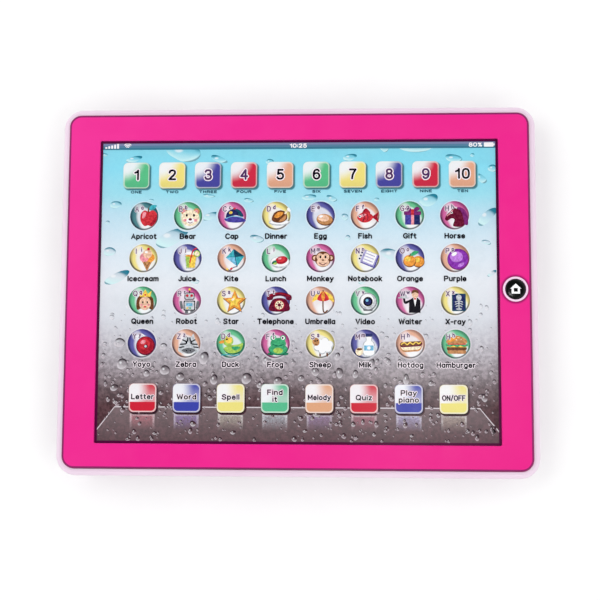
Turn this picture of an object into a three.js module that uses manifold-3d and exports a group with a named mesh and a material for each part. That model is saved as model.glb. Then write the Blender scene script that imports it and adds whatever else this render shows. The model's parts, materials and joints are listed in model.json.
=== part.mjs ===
// A child's learning tablet: a printed membrane touch panel in a moulded bezel, on a shallow white rear shell that
// holds three AA cells, a sound board and a loudspeaker. Millimetres, +Z up. The tablet lies on its back: the flat
// back is the plane Z = 0, the origin is its centre, and +Y points to the top of the printed picture.
import * as THREE from "three";
import { mergeVertices } from "three/addons/utils/BufferGeometryUtils.js";
import Module from "manifold-3d";

const wasm = await Module();
wasm.setup();

// ---- Driving dimensions ----------------------------------------------------------------------------------------
const LENGTH = 240; // of the rear shell's outline, along X
const WIDTH = 186; // of the rear shell's outline, along Y
const OUTLINE_CORNER = 10;
const WALL = 2;
const GAP = 0.3; // between pieces that meet at a joint line
const SHEET_GAP = 0.05; // between the films that lie on each other

const BACK_INSET = 20; // from the outline in to the edge of the flat back
const BACK_CORNER = 12;
const WAIST_Z = 14; // where the curved back reaches the outline
const SHOULDER_Z = 15.6; // where the rim starts to turn in
const RIM_Z = 20;
const RIM_WIDTH = 3.7;

const BEZEL_LENGTH = 232;
const BEZEL_WIDTH = 178;
const BEZEL_CORNER = 6;
const BEZEL_TOP = 21.25;
const BEZEL_THICKNESS = 1.6;
const BEZEL_UNDER = BEZEL_TOP - BEZEL_THICKNESS;
// The window sits a little off the bezel's centre, towards the button and the lower edge.
const WINDOW = { centre: [0.25, -0.4], halfX: 100.45, halfY: 76.3, radius: 0.8 };

// The films reach 1.1 to 1.9 under the bezel.
const FILM_LENGTH = 203.6;
const FILM_WIDTH = 155.6;
const OVERLAY_THICKNESS = 0.3;
const FILM_THICKNESS = 0.2;
const PLATE_THICKNESS = 1.2;

const CELL_RADIUS = 7.15; // AA: 14.3 across, 50.5 long over the nub
const CELL_LENGTH = 50.5;
const CELL_PITCH = 15.2;
const BAY = { x: -6, y: -36, halfX: 29.2, halfY: 23.6, wall: 2.2, ledge: 1.2 };
const DOOR_OUTER_Z = 0.3;
const DOOR_THICKNESS = 1.3;
const DOOR_PAST_BAY = 10.8; // how far the door runs on beyond the bay to take its screw
const DOOR_RECESS_Z = 1.7;
const DOOR_SCREW_X = BAY.x + BAY.halfX + 6.8;
const CELL_Z = 8.9;
const CEILING_Z = 16.2;
const CEILING_THICKNESS = 1;

const BUTTON = { x: 108.2, y: 0, capRadius: 4.95, ringOuter: 6.2, ringInner: 5.15, barrel: 5.7, sides: 48 };
const SPEAKER = { x: 62, y: -34, radius: 20 };
const BOARD = { x: -6, y: 27, length: 60, width: 36, z: 6, thickness: 1.4 };

const CASE_SCREWS = [[-109.5, 82.5], [0, 84.6], [109.5, 82.5], [-109.5, -82.5], [0, -84.6], [109.5, -82.5]];
const NUMBER_KEYS = { count: 10, pitch: 18.28, x: 0.7, y: 58 };
const PICTURE_KEYS = { columns: 8, rows: 4, pitchX: 22.3, pitchY: 21.45, x: 0.8, topY: 37.2 };
const FUNCTION_KEYS = { count: 8, pitch: 22, x: 0.6, y: -54.2 };

// ---- Solids ------------------------------------------------------------------------------------------------------
const CORNER_STEPS = 8;

// A closed three.js geometry as a manifold-3d solid, turned right way out.
function solidOf(geometry) {
  const plain = geometry.index ? geometry.toNonIndexed() : geometry.clone();
  plain.deleteAttribute("normal");
  plain.deleteAttribute("uv");
  const merged = mergeVertices(plain, 1e-4);
  const make = (triVerts) =>
    new wasm.Manifold(
      new wasm.Mesh({ numProp: 3, vertProperties: merged.attributes.position.array, triVerts }),
    );
  const faces = new Uint32Array(merged.index.array);
  const solid = make(faces);
  return solid.volume() >= 0 ? solid : make(faces.reverse());
}

function geometryOf(solid) {
  const { numProp, numVert, vertProperties, triVerts } = solid.getMesh();
  const positions = new Float32Array(numVert * 3);
  for (let i = 0; i < numVert; i++) {
    positions.set(vertProperties.subarray(i * numProp, i * numProp + 3), i * 3);
  }
  const geometry = new THREE.BufferGeometry();
  geometry.setAttribute("position", new THREE.BufferAttribute(positions, 3));
  geometry.setIndex(new THREE.BufferAttribute(new Uint32Array(triVerts), 1));
  geometry.computeVertexNormals();
  return geometry;
}

const join = (solids) => solids.reduce((whole, solid) => whole.add(solid));

function box([x0, x1], [y0, y1], [z0, z1]) {
  const geometry = new THREE.BoxGeometry(x1 - x0, y1 - y0, z1 - z0);
  return solidOf(geometry.translate((x0 + x1) / 2, (y0 + y1) / 2, (z0 + z1) / 2));
}

function cylinder(x, y, [z0, z1], radius, sides = 10) {
  const geometry = new THREE.CylinderGeometry(radius, radius, z1 - z0, sides).rotateX(Math.PI / 2);
  return solidOf(geometry.translate(x, y, (z0 + z1) / 2));
}

// A solid of revolution about a vertical line. The profile is [radius, z] pairs; one that doesn't start and end on
// the axis is closed on itself.
function turned(x, y, profile, sides = 16) {
  const points = profile.map(([radius, z]) => new THREE.Vector2(radius, z));
  if (profile[0][0] > 0) points.push(points[0].clone());
  return solidOf(new THREE.LatheGeometry(points, sides).rotateX(Math.PI / 2).translate(x, y, 0));
}

// The points of a rectangle with round corners, anticlockwise.
function roundedRectangle(halfX, halfY, radius) {
  const points = [];
  for (let corner = 0; corner < 4; corner++) {
    const [signX, signY] = [[1, 1], [-1, 1], [-1, -1], [1, -1]][corner];
    for (let step = 0; step <= CORNER_STEPS; step++) {
      const angle = (corner + step / CORNER_STEPS) * (Math.PI / 2);
      points.push([
        signX * (halfX - radius) + radius * Math.cos(angle),
        signY * (halfY - radius) + radius * Math.sin(angle),
      ]);
    }
  }
  return points;
}

// A skin over rings {centre, halfX, halfY, radius, z}: capped at its two ends, or a closed frame if it is looped.
// A ring with no centre is centred on the tablet.
function loft(rings, looped = false) {
  const outlines = rings.map(({ centre: [x, y] = [0, 0], halfX, halfY, radius }) =>
    roundedRectangle(halfX, halfY, radius).map(([alongX, alongY]) => [x + alongX, y + alongY]),
  );
  const perRing = outlines[0].length;
  const positions = outlines.flatMap((outline, i) => outline.flatMap(([x, y]) => [x, y, rings[i].z]));
  const faces = [];
  for (let i = 0; i < (looped ? rings.length : rings.length - 1); i++) {
    const below = i * perRing;
    const above = ((i + 1) % rings.length) * perRing;
    for (let k = 0; k < perRing; k++) {
      const next = (k + 1) % perRing;
      faces.push(below + k, below + next, above + next, below + k, above + next, above + k);
    }
  }
  if (!looped) {
    const top = (rings.length - 1) * perRing;
    for (let k = 1; k < perRing - 1; k++) faces.push(0, k + 1, k, top, top + k, top + k + 1);
  }
  const geometry = new THREE.BufferGeometry();
  geometry.setAttribute("position", new THREE.Float32BufferAttribute(positions, 3));
  geometry.setIndex(faces);
  return solidOf(geometry);
}

function frame(outer, inner, [z0, z1]) {
  return loft(
    [
      { ...outer, z: z0 },
      { ...outer, z: z1 },
      { ...inner, z: z1 },
      { ...inner, z: z0 },
    ],
    true,
  );
}

// A round wire or lead of the given radius along a smooth curve through the points.
function wire(points, radius, steps, sides = 6) {
  const section = new THREE.Shape();
  for (let i = 0; i < sides; i++) {
    const angle = (i / sides) * 2 * Math.PI;
    const at = [radius * Math.cos(angle), radius * Math.sin(angle)];
    if (i) section.lineTo(...at);
    else section.moveTo(...at);
  }
  const path = new THREE.CatmullRomCurve3(points.map((point) => new THREE.Vector3(...point)));
  return solidOf(new THREE.ExtrudeGeometry(section, { steps, extrudePath: path, bevelEnabled: false }));
}

// A pan-head screw standing on a seat at seatZ. up is the way its shank points, 1 or -1.
function screw(x, y, seatZ, up, { head, headHeight, shank, length }) {
  const profile = [
    [0, -headHeight],
    [head * 0.7, -headHeight],
    [head, -headHeight * 0.55],
    [head, 0],
    [shank, 0],
    [shank, length - 1],
    [0, length],
  ].map(([radius, z]) => [radius, seatZ + up * z]);
  const slotWidth = head * 0.26;
  const slotZ = [seatZ - up * headHeight * 1.1, seatZ - up * headHeight * 0.5].sort((a, b) => a - b);
  const arm = head * 0.55;
  const cross = box([x - arm, x + arm], [y - slotWidth / 2, y + slotWidth / 2], slotZ).add(
    box([x - slotWidth / 2, x + slotWidth / 2], [y - arm, y + arm], slotZ),
  );
  return turned(x, y, profile, 8).subtract(cross);
}

const MATERIALS = {
  pink: { color: 0xf0309a, roughness: 0.35, metalness: 0 },
  white: { color: 0xf3f1f4, roughness: 0.3, metalness: 0 },
  print: { color: 0xb8dbe6, roughness: 0.3, metalness: 0 },
  film: { color: 0xd8dde0, roughness: 0.4, metalness: 0 },
  board: { color: 0x2f6b3a, roughness: 0.6, metalness: 0 },
  black: { color: 0x141416, roughness: 0.25, metalness: 0 },
  steel: { color: 0xb9bcc0, roughness: 0.35, metalness: 1 },
  paper: { color: 0x2a2a2c, roughness: 0.9, metalness: 0 },
  rubber: { color: 0xcfcfd2, roughness: 0.8, metalness: 0 },
  cell: { color: 0x2c3036, roughness: 0.35, metalness: 0.2 },
  redLead: { color: 0xb01818, roughness: 0.5, metalness: 0 },
  blackLead: { color: 0x18181a, roughness: 0.5, metalness: 0 },
};

const tablet = new THREE.Group();

function add(name, solid, material) {
  const mesh = new THREE.Mesh(geometryOf(solid), new THREE.MeshStandardMaterial(MATERIALS[material]));
  mesh.name = name;
  tablet.add(mesh);
}

// ---- Heights of the stack, from the top down ---------------------------------------------------------------------
const overlayTop = BEZEL_UNDER - SHEET_GAP;
const upperFilmTop = overlayTop - OVERLAY_THICKNESS - SHEET_GAP;
const spacerTop = upperFilmTop - FILM_THICKNESS - SHEET_GAP;
const lowerFilmTop = spacerTop - FILM_THICKNESS - SHEET_GAP;
const plateTop = lowerFilmTop - FILM_THICKNESS - SHEET_GAP;
const plateUnder = plateTop - PLATE_THICKNESS;

const bayOuter = { halfX: BAY.halfX + BAY.wall, halfY: BAY.halfY + BAY.wall };
const doorLeft = BAY.x - BAY.halfX - BAY.ledge; // also the line that the door swings on
const doorRight = BAY.x + BAY.halfX + DOOR_PAST_BAY;
const doorHalfY = BAY.halfY + BAY.ledge;
const cellY = [1, 0, -1].map((row) => BAY.y + row * CELL_PITCH);
const TABS = { halfWidth: 2.5, length: 3, offsetY: CELL_PITCH / 2, z: [2.3, 3.3] };
const SLOT_Z = 12.8; // height of the contacts' solder tabs, which pass the bay's end walls

// ---- Rear shell --------------------------------------------------------------------------------------------------
const CURVE_STEPS = 9;
const RIM_STEPS = 4;

function shellRing(inset, z, less = 0) {
  const radius = OUTLINE_CORNER + ((BACK_CORNER - OUTLINE_CORNER) * inset) / BACK_INSET - less;
  return { halfX: LENGTH / 2 - inset, halfY: WIDTH / 2 - inset, radius, z };
}

// The curved side from the flat back out to the outline, as a quarter of an ellipse.
function sideRings(thickness) {
  const rings = [];
  for (let step = 0; step <= CURVE_STEPS; step++) {
    const angle = (step / CURVE_STEPS) * (Math.PI / 2);
    const inset = thickness + BACK_INSET * (1 - Math.sin(angle));
    const z = thickness + (WAIST_Z - thickness) * (1 - Math.cos(angle));
    rings.push(shellRing(inset, z, thickness));
  }
  return rings;
}

function shellOutside() {
  const rings = sideRings(0);
  for (let step = 0; step <= RIM_STEPS; step++) {
    const angle = (step / RIM_STEPS) * (Math.PI / 2);
    const inset = RIM_WIDTH * (1 - Math.cos(angle));
    const z = SHOULDER_Z + (RIM_Z - SHOULDER_Z) * Math.sin(angle);
    rings.push(shellRing(inset, z, inset));
  }
  return loft(rings);
}

function shellInside() {
  const rimRing = { halfX: LENGTH / 2 - RIM_WIDTH, halfY: WIDTH / 2 - RIM_WIDTH, radius: OUTLINE_CORNER - RIM_WIDTH };
  return loft([
    ...sideRings(WALL),
    { ...rimRing, z: RIM_Z - 1.8 },
    { ...rimRing, z: RIM_Z + 1 },
  ]);
}

// Holes for sound on a hexagonal grid.
function grilleHoles() {
  const pitch = 5.2;
  const holes = [];
  for (let row = -3; row <= 3; row++) {
    for (let column = -3; column <= 3; column++) {
      const x = (column + (row % 2 ? 0.5 : 0)) * pitch;
      const y = row * pitch * Math.sin(Math.PI / 3);
      if (Math.hypot(x, y) < 15) {
        holes.push(cylinder(SPEAKER.x + x, SPEAKER.y + y, [-1, WALL + 1], 1.25, 6));
      }
    }
  }
  return holes;
}

const speakerScrews = [45, 225].map((degrees) => {
  const angle = THREE.MathUtils.degToRad(degrees);
  return [SPEAKER.x + 23.5 * Math.cos(angle), SPEAKER.y + 23.5 * Math.sin(angle)];
});
const boardSupports = [-1, 1].flatMap((i) =>
  [-1, 1].map((j) => [BOARD.x + i * (BOARD.length / 2 - 3), BOARD.y + j * (BOARD.width / 2 - 3)]),
);
const boardScrews = [boardSupports[1], boardSupports[2]];

function rearShell() {
  const outside = shellOutside();
  const bayBlock = box(
    [BAY.x - bayOuter.halfX, BAY.x + bayOuter.halfX],
    [BAY.y - bayOuter.halfY, BAY.y + bayOuter.halfY],
    [DOOR_RECESS_Z, CEILING_Z + CEILING_THICKNESS],
  );
  const bayHollow = box(
    [BAY.x - BAY.halfX, BAY.x + BAY.halfX],
    [BAY.y - BAY.halfY, BAY.y + BAY.halfY],
    [DOOR_RECESS_Z - 0.1, CEILING_Z],
  );
  const cradles = [-1, 1].map((side) => {
    const y = BAY.y + (side * CELL_PITCH) / 2;
    return box([BAY.x - 18, BAY.x + 18], [y - 0.5, y + 0.5], [11.5, CEILING_Z + 0.1]);
  });
  const screwShelf = box(
    [BAY.x + BAY.halfX, doorRight + GAP + 2],
    [BAY.y - bayOuter.halfY - 1, BAY.y + bayOuter.halfY + 1],
    [DOOR_RECESS_Z, DOOR_RECESS_Z + 1.8],
  );
  const bosses = [
    ...CASE_SCREWS.map(([x, y]) => cylinder(x, y, [0, 10], 4.2)),
    ...boardSupports.map(([x, y]) => cylinder(x, y, [WALL - 0.5, BOARD.z - SHEET_GAP], 2.6, 10)),
    ...speakerScrews.map(([x, y]) => cylinder(x, y, [WALL - 0.5, 5.6], 2.6, 10)),
    cylinder(DOOR_SCREW_X, BAY.y, [DOOR_RECESS_Z, 10], 6),
  ];
  const speakerWall = turned(SPEAKER.x, SPEAKER.y, [[20.6, WALL - 0.5], [22, WALL - 0.5], [22, 5.4], [20.6, 5.4]], 24);
  const speakerSeat = turned(
    SPEAKER.x,
    SPEAKER.y,
    [[18.4, WALL - 0.5], [20.8, WALL - 0.5], [20.8, 4.6], [18.4, 4.6]],
    24,
  );
  const doorRecess = box(
    [doorLeft, doorRight + GAP],
    [BAY.y - doorHalfY - GAP, BAY.y + doorHalfY + GAP],
    [-1, DOOR_RECESS_Z],
  );
  const cuts = [
    doorRecess,
    ...CASE_SCREWS.flatMap(([x, y]) => [
      cylinder(x, y, [-1, 6.5], 3.2),
      cylinder(x, y, [6, 11], 1.7, 10),
    ]),
    ...boardScrews.map(([x, y]) => cylinder(x, y, [2.4, 7], 1.3, 8)),
    ...speakerScrews.map(([x, y]) => cylinder(x, y, [2.4, 7], 1.3, 8)),
    cylinder(DOOR_SCREW_X, BAY.y, [0, 3.4], 4.9),
    cylinder(DOOR_SCREW_X, BAY.y, [3, 11], 1.9, 10),
    ...[-1, 1].map((side) => {
      const y = BAY.y + side * TABS.offsetY;
      const reach = TABS.halfWidth + 0.5;
      const slot = box([BAY.x - bayOuter.halfX - 1, BAY.x - BAY.halfX + 0.1], [y - reach, y + reach], [WALL, 6.5]);
      return slot.add(box([doorLeft, BAY.x - BAY.halfX + 0.1], [y - reach, y + reach], [DOOR_RECESS_Z - 0.1, 3]));
    }),
    box([BAY.x - bayOuter.halfX - 1, BAY.x - BAY.halfX + 0.1], [cellY[0] - 1.8, cellY[0] + 1.8], [SLOT_Z - 0.7, SLOT_Z + 0.7]),
    box([BAY.x + BAY.halfX - 0.1, BAY.x + bayOuter.halfX + 1], [cellY[2] - 1.8, cellY[2] + 1.8], [SLOT_Z - 0.7, SLOT_Z + 0.7]),
    ...grilleHoles(),
  ];
  const tray = outside.subtract(shellInside());
  const bay = bayBlock.subtract(bayHollow);
  const inner = join([bay, ...cradles, screwShelf, ...bosses, speakerWall, speakerSeat]);
  return tray.subtract(bayHollow).add(inner.intersect(outside)).subtract(join(cuts));
}

// ---- Front bezel -------------------------------------------------------------------------------------------------
const STAKES = [-1, 1].flatMap((i) => [
  ...[-62, -28, 28, 62].map((y) => [i * 104.6, y]),
  ...[-45, 45].map((x) => [x, i * 79.3]),
]);
const buttonPosts = [-9, 9].map((offset) => [BUTTON.x, BUTTON.y + offset]);
const BUTTON_BOARD_Z = 13;
const BUTTON_BOARD_THICKNESS = 1.2;
const buttonBoardTop = BUTTON_BOARD_Z + BUTTON_BOARD_THICKNESS;

function frontBezel() {
  const outline = { halfX: BEZEL_LENGTH / 2, halfY: BEZEL_WIDTH / 2, radius: BEZEL_CORNER };
  const grown = (ring, by) => ({
    ...ring,
    halfX: ring.halfX + by,
    halfY: ring.halfY + by,
    radius: ring.radius + by,
  });
  const plate = loft(
    [
      { ...outline, z: BEZEL_UNDER },
      { ...outline, z: BEZEL_TOP - 0.6 },
      { ...grown(outline, -0.2), z: BEZEL_TOP - 0.2 },
      { ...grown(outline, -0.6), z: BEZEL_TOP },
      { ...grown(WINDOW, 0.3), z: BEZEL_TOP },
      { ...WINDOW, z: BEZEL_TOP - 0.3 },
      { ...WINDOW, z: BEZEL_UNDER },
    ],
    true,
  );
  const skirt = frame(grown(outline, -0.4), grown(outline, -2), [16.4, BEZEL_UNDER + 0.1]);
  const posts = CASE_SCREWS.map(([x, y]) => cylinder(x, y, [10.3, BEZEL_UNDER + 0.1], 3, 10));
  const boardPosts = buttonPosts.map(([x, y]) => cylinder(x, y, [buttonBoardTop + SHEET_GAP, BEZEL_UNDER + 0.1], 2.6, 10));
  const stakes = STAKES.map(([x, y]) =>
    turned(
      x,
      y,
      [
        [0, plateUnder - 0.6],
        [1.2, plateUnder - 0.5],
        [1.7, plateUnder - 0.1],
        [0.9, plateUnder - 0.1],
        [0.9, BEZEL_UNDER + 0.1],
        [0, BEZEL_UNDER + 0.1],
      ],
      8,
    ),
  );
  const cuts = [
    cylinder(BUTTON.x, BUTTON.y, [BEZEL_UNDER - 1, BEZEL_TOP + 1], BUTTON.barrel + 0.2, 24),
    ...CASE_SCREWS.map(([x, y]) => cylinder(x, y, [10, BEZEL_UNDER - 1], 1.4, 8)),
    ...buttonPosts.map(([x, y]) => cylinder(x, y, [14, BEZEL_UNDER - 0.5], 1.3, 8)),
  ];
  return join([plate, skirt, ...posts, ...boardPosts, ...stakes]).subtract(join(cuts));
}

// ---- Touch panel -------------------------------------------------------------------------------------------------
const sheet = (top, thickness) =>
  box([-FILM_LENGTH / 2, FILM_LENGTH / 2], [-FILM_WIDTH / 2, FILM_WIDTH / 2], [top - thickness, top]);

function keyCentres() {
  const centres = [];
  const row = (count, pitch, x, y) => {
    for (let i = 0; i < count; i++) centres.push([x + (i - (count - 1) / 2) * pitch, y]);
  };
  row(NUMBER_KEYS.count, NUMBER_KEYS.pitch, NUMBER_KEYS.x, NUMBER_KEYS.y);
  for (let i = 0; i < PICTURE_KEYS.rows; i++) {
    row(PICTURE_KEYS.columns, PICTURE_KEYS.pitchX, PICTURE_KEYS.x, PICTURE_KEYS.topY - i * PICTURE_KEYS.pitchY);
  }
  row(FUNCTION_KEYS.count, FUNCTION_KEYS.pitch, FUNCTION_KEYS.x, FUNCTION_KEYS.y);
  return centres;
}

function spacerFilm() {
  const holes = keyCentres().map(([x, y]) => cylinder(x, y, [spacerTop - 1, spacerTop + 1], 4.5, 6));
  return sheet(spacerTop, FILM_THICKNESS).subtract(join(holes));
}

const TAIL = { x: [-18, 6], slotY: [53, 60] };

// The lower film's tail drops through a slot in the backing plate and runs onto the board.
function lowerCircuitFilm() {
  const line = new THREE.CatmullRomCurve3(
    [
      [61, lowerFilmTop - 0.1],
      [58, lowerFilmTop - 0.5],
      [56, 15.5],
      [54.5, 11.5],
      [51, 8.4],
      [46, 7.6],
      [41, 7.56],
      [37, 7.56],
    ].map(([y, z]) => new THREE.Vector3(0, y, z)),
  );
  const steps = 14;
  const half = 0.1;
  const side = (sign) =>
    line.getPoints(steps).map((point, i) => {
      const along = line.getTangent(i / steps);
      return new THREE.Vector2(point.y - sign * half * along.z, point.z + sign * half * along.y);
    });
  const section = new THREE.Shape([...side(1), ...side(-1).reverse()]);
  const width = TAIL.x[1] - TAIL.x[0];
  const strip = new THREE.ExtrudeGeometry(section, { depth: width, bevelEnabled: false });
  // The section is drawn in Y and Z, so its own X and Y turn to the part's Y and Z.
  strip.applyMatrix4(new THREE.Matrix4().makeBasis(
    new THREE.Vector3(0, 1, 0),
    new THREE.Vector3(0, 0, 1),
    new THREE.Vector3(1, 0, 0),
  )).translate(TAIL.x[0], 0, 0);
  return sheet(lowerFilmTop, FILM_THICKNESS).add(solidOf(strip));
}

function backingPlate() {
  const plate = loft([
    { halfX: 106.5, halfY: 81.2, radius: 3, z: plateUnder },
    { halfX: 106.5, halfY: 81.2, radius: 3, z: plateTop },
  ]);
  const through = [plateUnder - 1, plateTop + 1];
  const cuts = [
    box([102.4, 110], [-13, 13], through),
    box([TAIL.x[0] - 1.5, TAIL.x[1] + 1.5], TAIL.slotY, through),
    ...STAKES.map(([x, y]) => cylinder(x, y, through, 1.2, 8)),
  ];
  return plate.subtract(join(cuts));
}

// ---- Home button -------------------------------------------------------------------------------------------------
const ringTop = BEZEL_TOP + 0.45;
const barrelEnd = 18.25;

function homeButtonRing() {
  const { ringInner, ringOuter, barrel } = BUTTON;
  return turned(
    BUTTON.x,
    BUTTON.y,
    [
      [ringInner, barrelEnd],
      [barrel, barrelEnd],
      [barrel, BEZEL_TOP + SHEET_GAP],
      [ringOuter, BEZEL_TOP + SHEET_GAP],
      [ringOuter, ringTop - 0.15],
      [ringOuter - 0.3, ringTop],
      [ringInner + 0.2, ringTop],
      [ringInner, ringTop - 0.15],
    ],
    BUTTON.sides,
  );
}

function homeButtonCap() {
  const { capRadius } = BUTTON;
  return turned(
    BUTTON.x,
    BUTTON.y,
    [
      [0, 16.75],
      [1.6, 16.75],
      [1.6, 17.6],
      [capRadius + 0.65, 17.6],
      [capRadius + 0.65, barrelEnd - SHEET_GAP],
      [capRadius, barrelEnd - SHEET_GAP],
      [capRadius, 21.45],
      [capRadius * 0.92, 21.62],
      [capRadius * 0.66, 21.78],
      [0, 21.85],
    ],
    BUTTON.sides,
  );
}

// A house with one square window, which stands a little proud of the cap.
function homeButtonIcon() {
  const outline = (corners) => corners.map(([x, y]) => new THREE.Vector2(x, y));
  const house = new THREE.Shape(
    outline([[-2.05, -2.3], [2.05, -2.3], [2.05, 0.2], [2.75, 0.2], [0, 2.75], [-2.75, 0.2], [-2.05, 0.2]]),
  );
  house.holes.push(new THREE.Path(outline([[-0.95, -1.3], [-0.95, 0.5], [0.95, 0.5], [0.95, -1.3]])));
  const geometry = new THREE.ExtrudeGeometry(house, { depth: 0.1, bevelEnabled: false });
  return solidOf(geometry.translate(BUTTON.x, BUTTON.y, 21.88));
}

function homeButtonDome() {
  const base = buttonBoardTop + SHEET_GAP;
  return turned(
    BUTTON.x,
    BUTTON.y,
    [
      [0, base + 1.1],
      [1.6, base + 1.1],
      [2.4, base + 1.2],
      [3.6, base],
      [5, base],
      [5, base + 0.5],
      [4, base + 0.6],
      [2.8, base + 1.8],
      [2.4, 16.7],
      [0, 16.7],
    ],
    20,
  );
}

function homeButtonBoard() {
  const board = box([BUTTON.x - 7, BUTTON.x + 7], [-12, 12], [BUTTON_BOARD_Z, buttonBoardTop]);
  return board.subtract(join(buttonPosts.map(([x, y]) => cylinder(x, y, [12, 15], 1.3, 8))));
}

// ---- Main board --------------------------------------------------------------------------------------------------
const boardTop = BOARD.z + BOARD.thickness;
const CLAMP_SCREWS = [[-23, 40], [11, 40]];

function mainBoard() {
  const board = box(
    [BOARD.x - BOARD.length / 2, BOARD.x + BOARD.length / 2],
    [BOARD.y - BOARD.width / 2, BOARD.y + BOARD.width / 2],
    [BOARD.z, boardTop],
  );
  const holes = [...boardScrews, ...CLAMP_SCREWS].map(([x, y]) => cylinder(x, y, [4, 9], 1.3, 8));
  return board.subtract(join(holes));
}

function tailClamp() {
  const bar = box([-26, 14], [37.5, 42.5], [7.75, 10.2]);
  return bar.subtract(join(CLAMP_SCREWS.map(([x, y]) => cylinder(x, y, [7, 11], 1.3, 8))));
}

// ---- Loudspeaker, facing the back --------------------------------------------------------------------------------
const CONE_SIDES = 20;

function speakerFrame() {
  const basket = turned(
    SPEAKER.x,
    SPEAKER.y,
    [
      [18, 4.7], [20, 4.7], [20, 5.5], [18.6, 5.5], [13, 9.4], [9.4, 9.4],
      [9.4, 8.6], [12.6, 8.6], [17.6, 5.2], [18, 5.2],
    ],
    CONE_SIDES,
  );
  const terminals = box([-13.4, -9.4], [-1.2, 1.2], [8.8, 10.4]);
  return basket.add(terminals.rotate([0, 0, -45]).translate([SPEAKER.x, SPEAKER.y, 0]));
}

const speakerMagnet = () =>
  turned(
    SPEAKER.x,
    SPEAKER.y,
    [[0, 8.2], [4.2, 8.2], [4.2, 12.6], [5.8, 12.6], [5.8, 8.4], [9.2, 8.4], [9.2, 14.6], [0, 14.6]],
    CONE_SIDES,
  );

const speakerSurround = () =>
  turned(
    SPEAKER.x,
    SPEAKER.y,
    [[15.7, 4.75], [16.1, 4.2], [16.9, 4.2], [17.7, 4.75], [17.7, 5.05], [16.8, 4.5], [16.2, 4.5], [15.7, 5.05]],
    CONE_SIDES,
  );

const speakerCone = () =>
  turned(
    SPEAKER.x,
    SPEAKER.y,
    [
      [0, 5.7], [3, 6.1], [4.9, 7.1], [15.3, 4.4], [15.3, 4.9], [5.3, 7.6], [5.3, 11.6], [4.7, 11.6],
      [4.7, 7.5], [2.8, 6.6], [0, 6.2],
    ],
    CONE_SIDES,
  );

// ---- Battery bay -------------------------------------------------------------------------------------------------
const BAY_LEFT = BAY.x - BAY.halfX;
const BAY_RIGHT = BAY.x + BAY.halfX;
const PLATE = { thickness: 0.4, standOff: 0.3, halfWidth: 4.6, z: [4.6, 13.4] };

// An AA cell between the bay's ends. positive is -1 or 1, the side that its nub points to.
function cell(y, positive) {
  const radius = CELL_RADIUS;
  const body = CELL_LENGTH - 1;
  const profile = [
    [0, 0], [radius - 0.6, 0], [radius, 0.6], [radius, body - 0.6], [radius - 0.6, body],
    [2.75, body], [2.75, CELL_LENGTH], [0, CELL_LENGTH],
  ].map(([r, along]) => new THREE.Vector2(r, along));
  // The lathe's axis is Y. Turned onto X, the nub points to +X or to -X.
  const geometry = new THREE.LatheGeometry(profile, 20).rotateZ((-positive * Math.PI) / 2);
  const nubEnd = PLATE.standOff + PLATE.thickness + 0.1;
  const start = positive < 0 ? BAY_LEFT + nubEnd + CELL_LENGTH : BAY_RIGHT - nubEnd - CELL_LENGTH;
  return solidOf(geometry.translate(start, y, CELL_Z));
}

// A conical spring from a contact plate towards the cell. side is the end wall, -1 or 1.
function contactSpring(y, side) {
  const plateFace = (side < 0 ? BAY_LEFT : BAY_RIGHT) - side * (PLATE.standOff + PLATE.thickness);
  const length = BAY.halfX * 2 - 2 * (PLATE.standOff + PLATE.thickness) - CELL_LENGTH - 0.4;
  const turns = 3.5;
  const perTurn = 8;
  const points = [];
  for (let i = 0; i <= turns * perTurn; i++) {
    const share = i / (turns * perTurn);
    const angle = share * turns * 2 * Math.PI;
    const radius = 4 - 1.6 * share;
    points.push([
      plateFace - side * (0.2 + share * (length - 0.6)),
      y + radius * Math.cos(angle),
      CELL_Z + radius * Math.sin(angle),
    ]);
  }
  return wire(points, 0.35, turns * perTurn, 4);
}

// A contact plate at one end wall, from one cell's place to another's.
function contactPlate(side, lowY, highY) {
  const wallX = side < 0 ? BAY_LEFT : BAY_RIGHT;
  const x = [wallX - side * PLATE.standOff, wallX - side * (PLATE.standOff + PLATE.thickness)].sort((a, b) => a - b);
  return box(x, [lowY - PLATE.halfWidth, highY + PLATE.halfWidth], PLATE.z);
}

// The strip that leads a plate's current out through the end wall.
function solderTab(side, y) {
  const wallX = side < 0 ? BAY_LEFT : BAY_RIGHT;
  const x = [wallX - side * (PLATE.standOff + PLATE.thickness), wallX + side * 4].sort((a, b) => a - b);
  return box(x, [y - 1.2, y + 1.2], [SLOT_Z - 0.2, SLOT_Z + 0.2]);
}

function batteryDoor() {
  const plate = box(
    [doorLeft + GAP, doorRight],
    [BAY.y - doorHalfY, BAY.y + doorHalfY],
    [DOOR_OUTER_Z, DOOR_OUTER_Z + DOOR_THICKNESS],
  );
  const tabs = [-1, 1].flatMap((side) => {
    const y = BAY.y + side * TABS.offsetY;
    const across = [y - TABS.halfWidth, y + TABS.halfWidth];
    return [
      box([doorLeft - TABS.length, doorLeft + 1.5], across, TABS.z),
      box([doorLeft + GAP, doorLeft + 1.5], across, [DOOR_OUTER_Z + 0.5, TABS.z[1]]),
    ];
  });
  const boss = cylinder(DOOR_SCREW_X, BAY.y, [DOOR_OUTER_Z + 0.5, 3.1], 4.4);
  const cuts = [
    cylinder(DOOR_SCREW_X, BAY.y, [-1, 1.95], 3.1, 16),
    cylinder(DOOR_SCREW_X, BAY.y, [1, 4], 1.6, 10),
    // A thumb groove across the end by the screw.
    box([doorRight - 3.2, doorRight - 2.2], [BAY.y - 9, BAY.y + 9], [-1, DOOR_OUTER_Z + 0.4]),
  ];
  return join([plate, ...tabs, boss]).subtract(join(cuts));
}

// ---- Assembly ----------------------------------------------------------------------------------------------------
add("rear_shell", rearShell(), "white");
add("front_bezel", frontBezel(), "pink");

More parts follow.
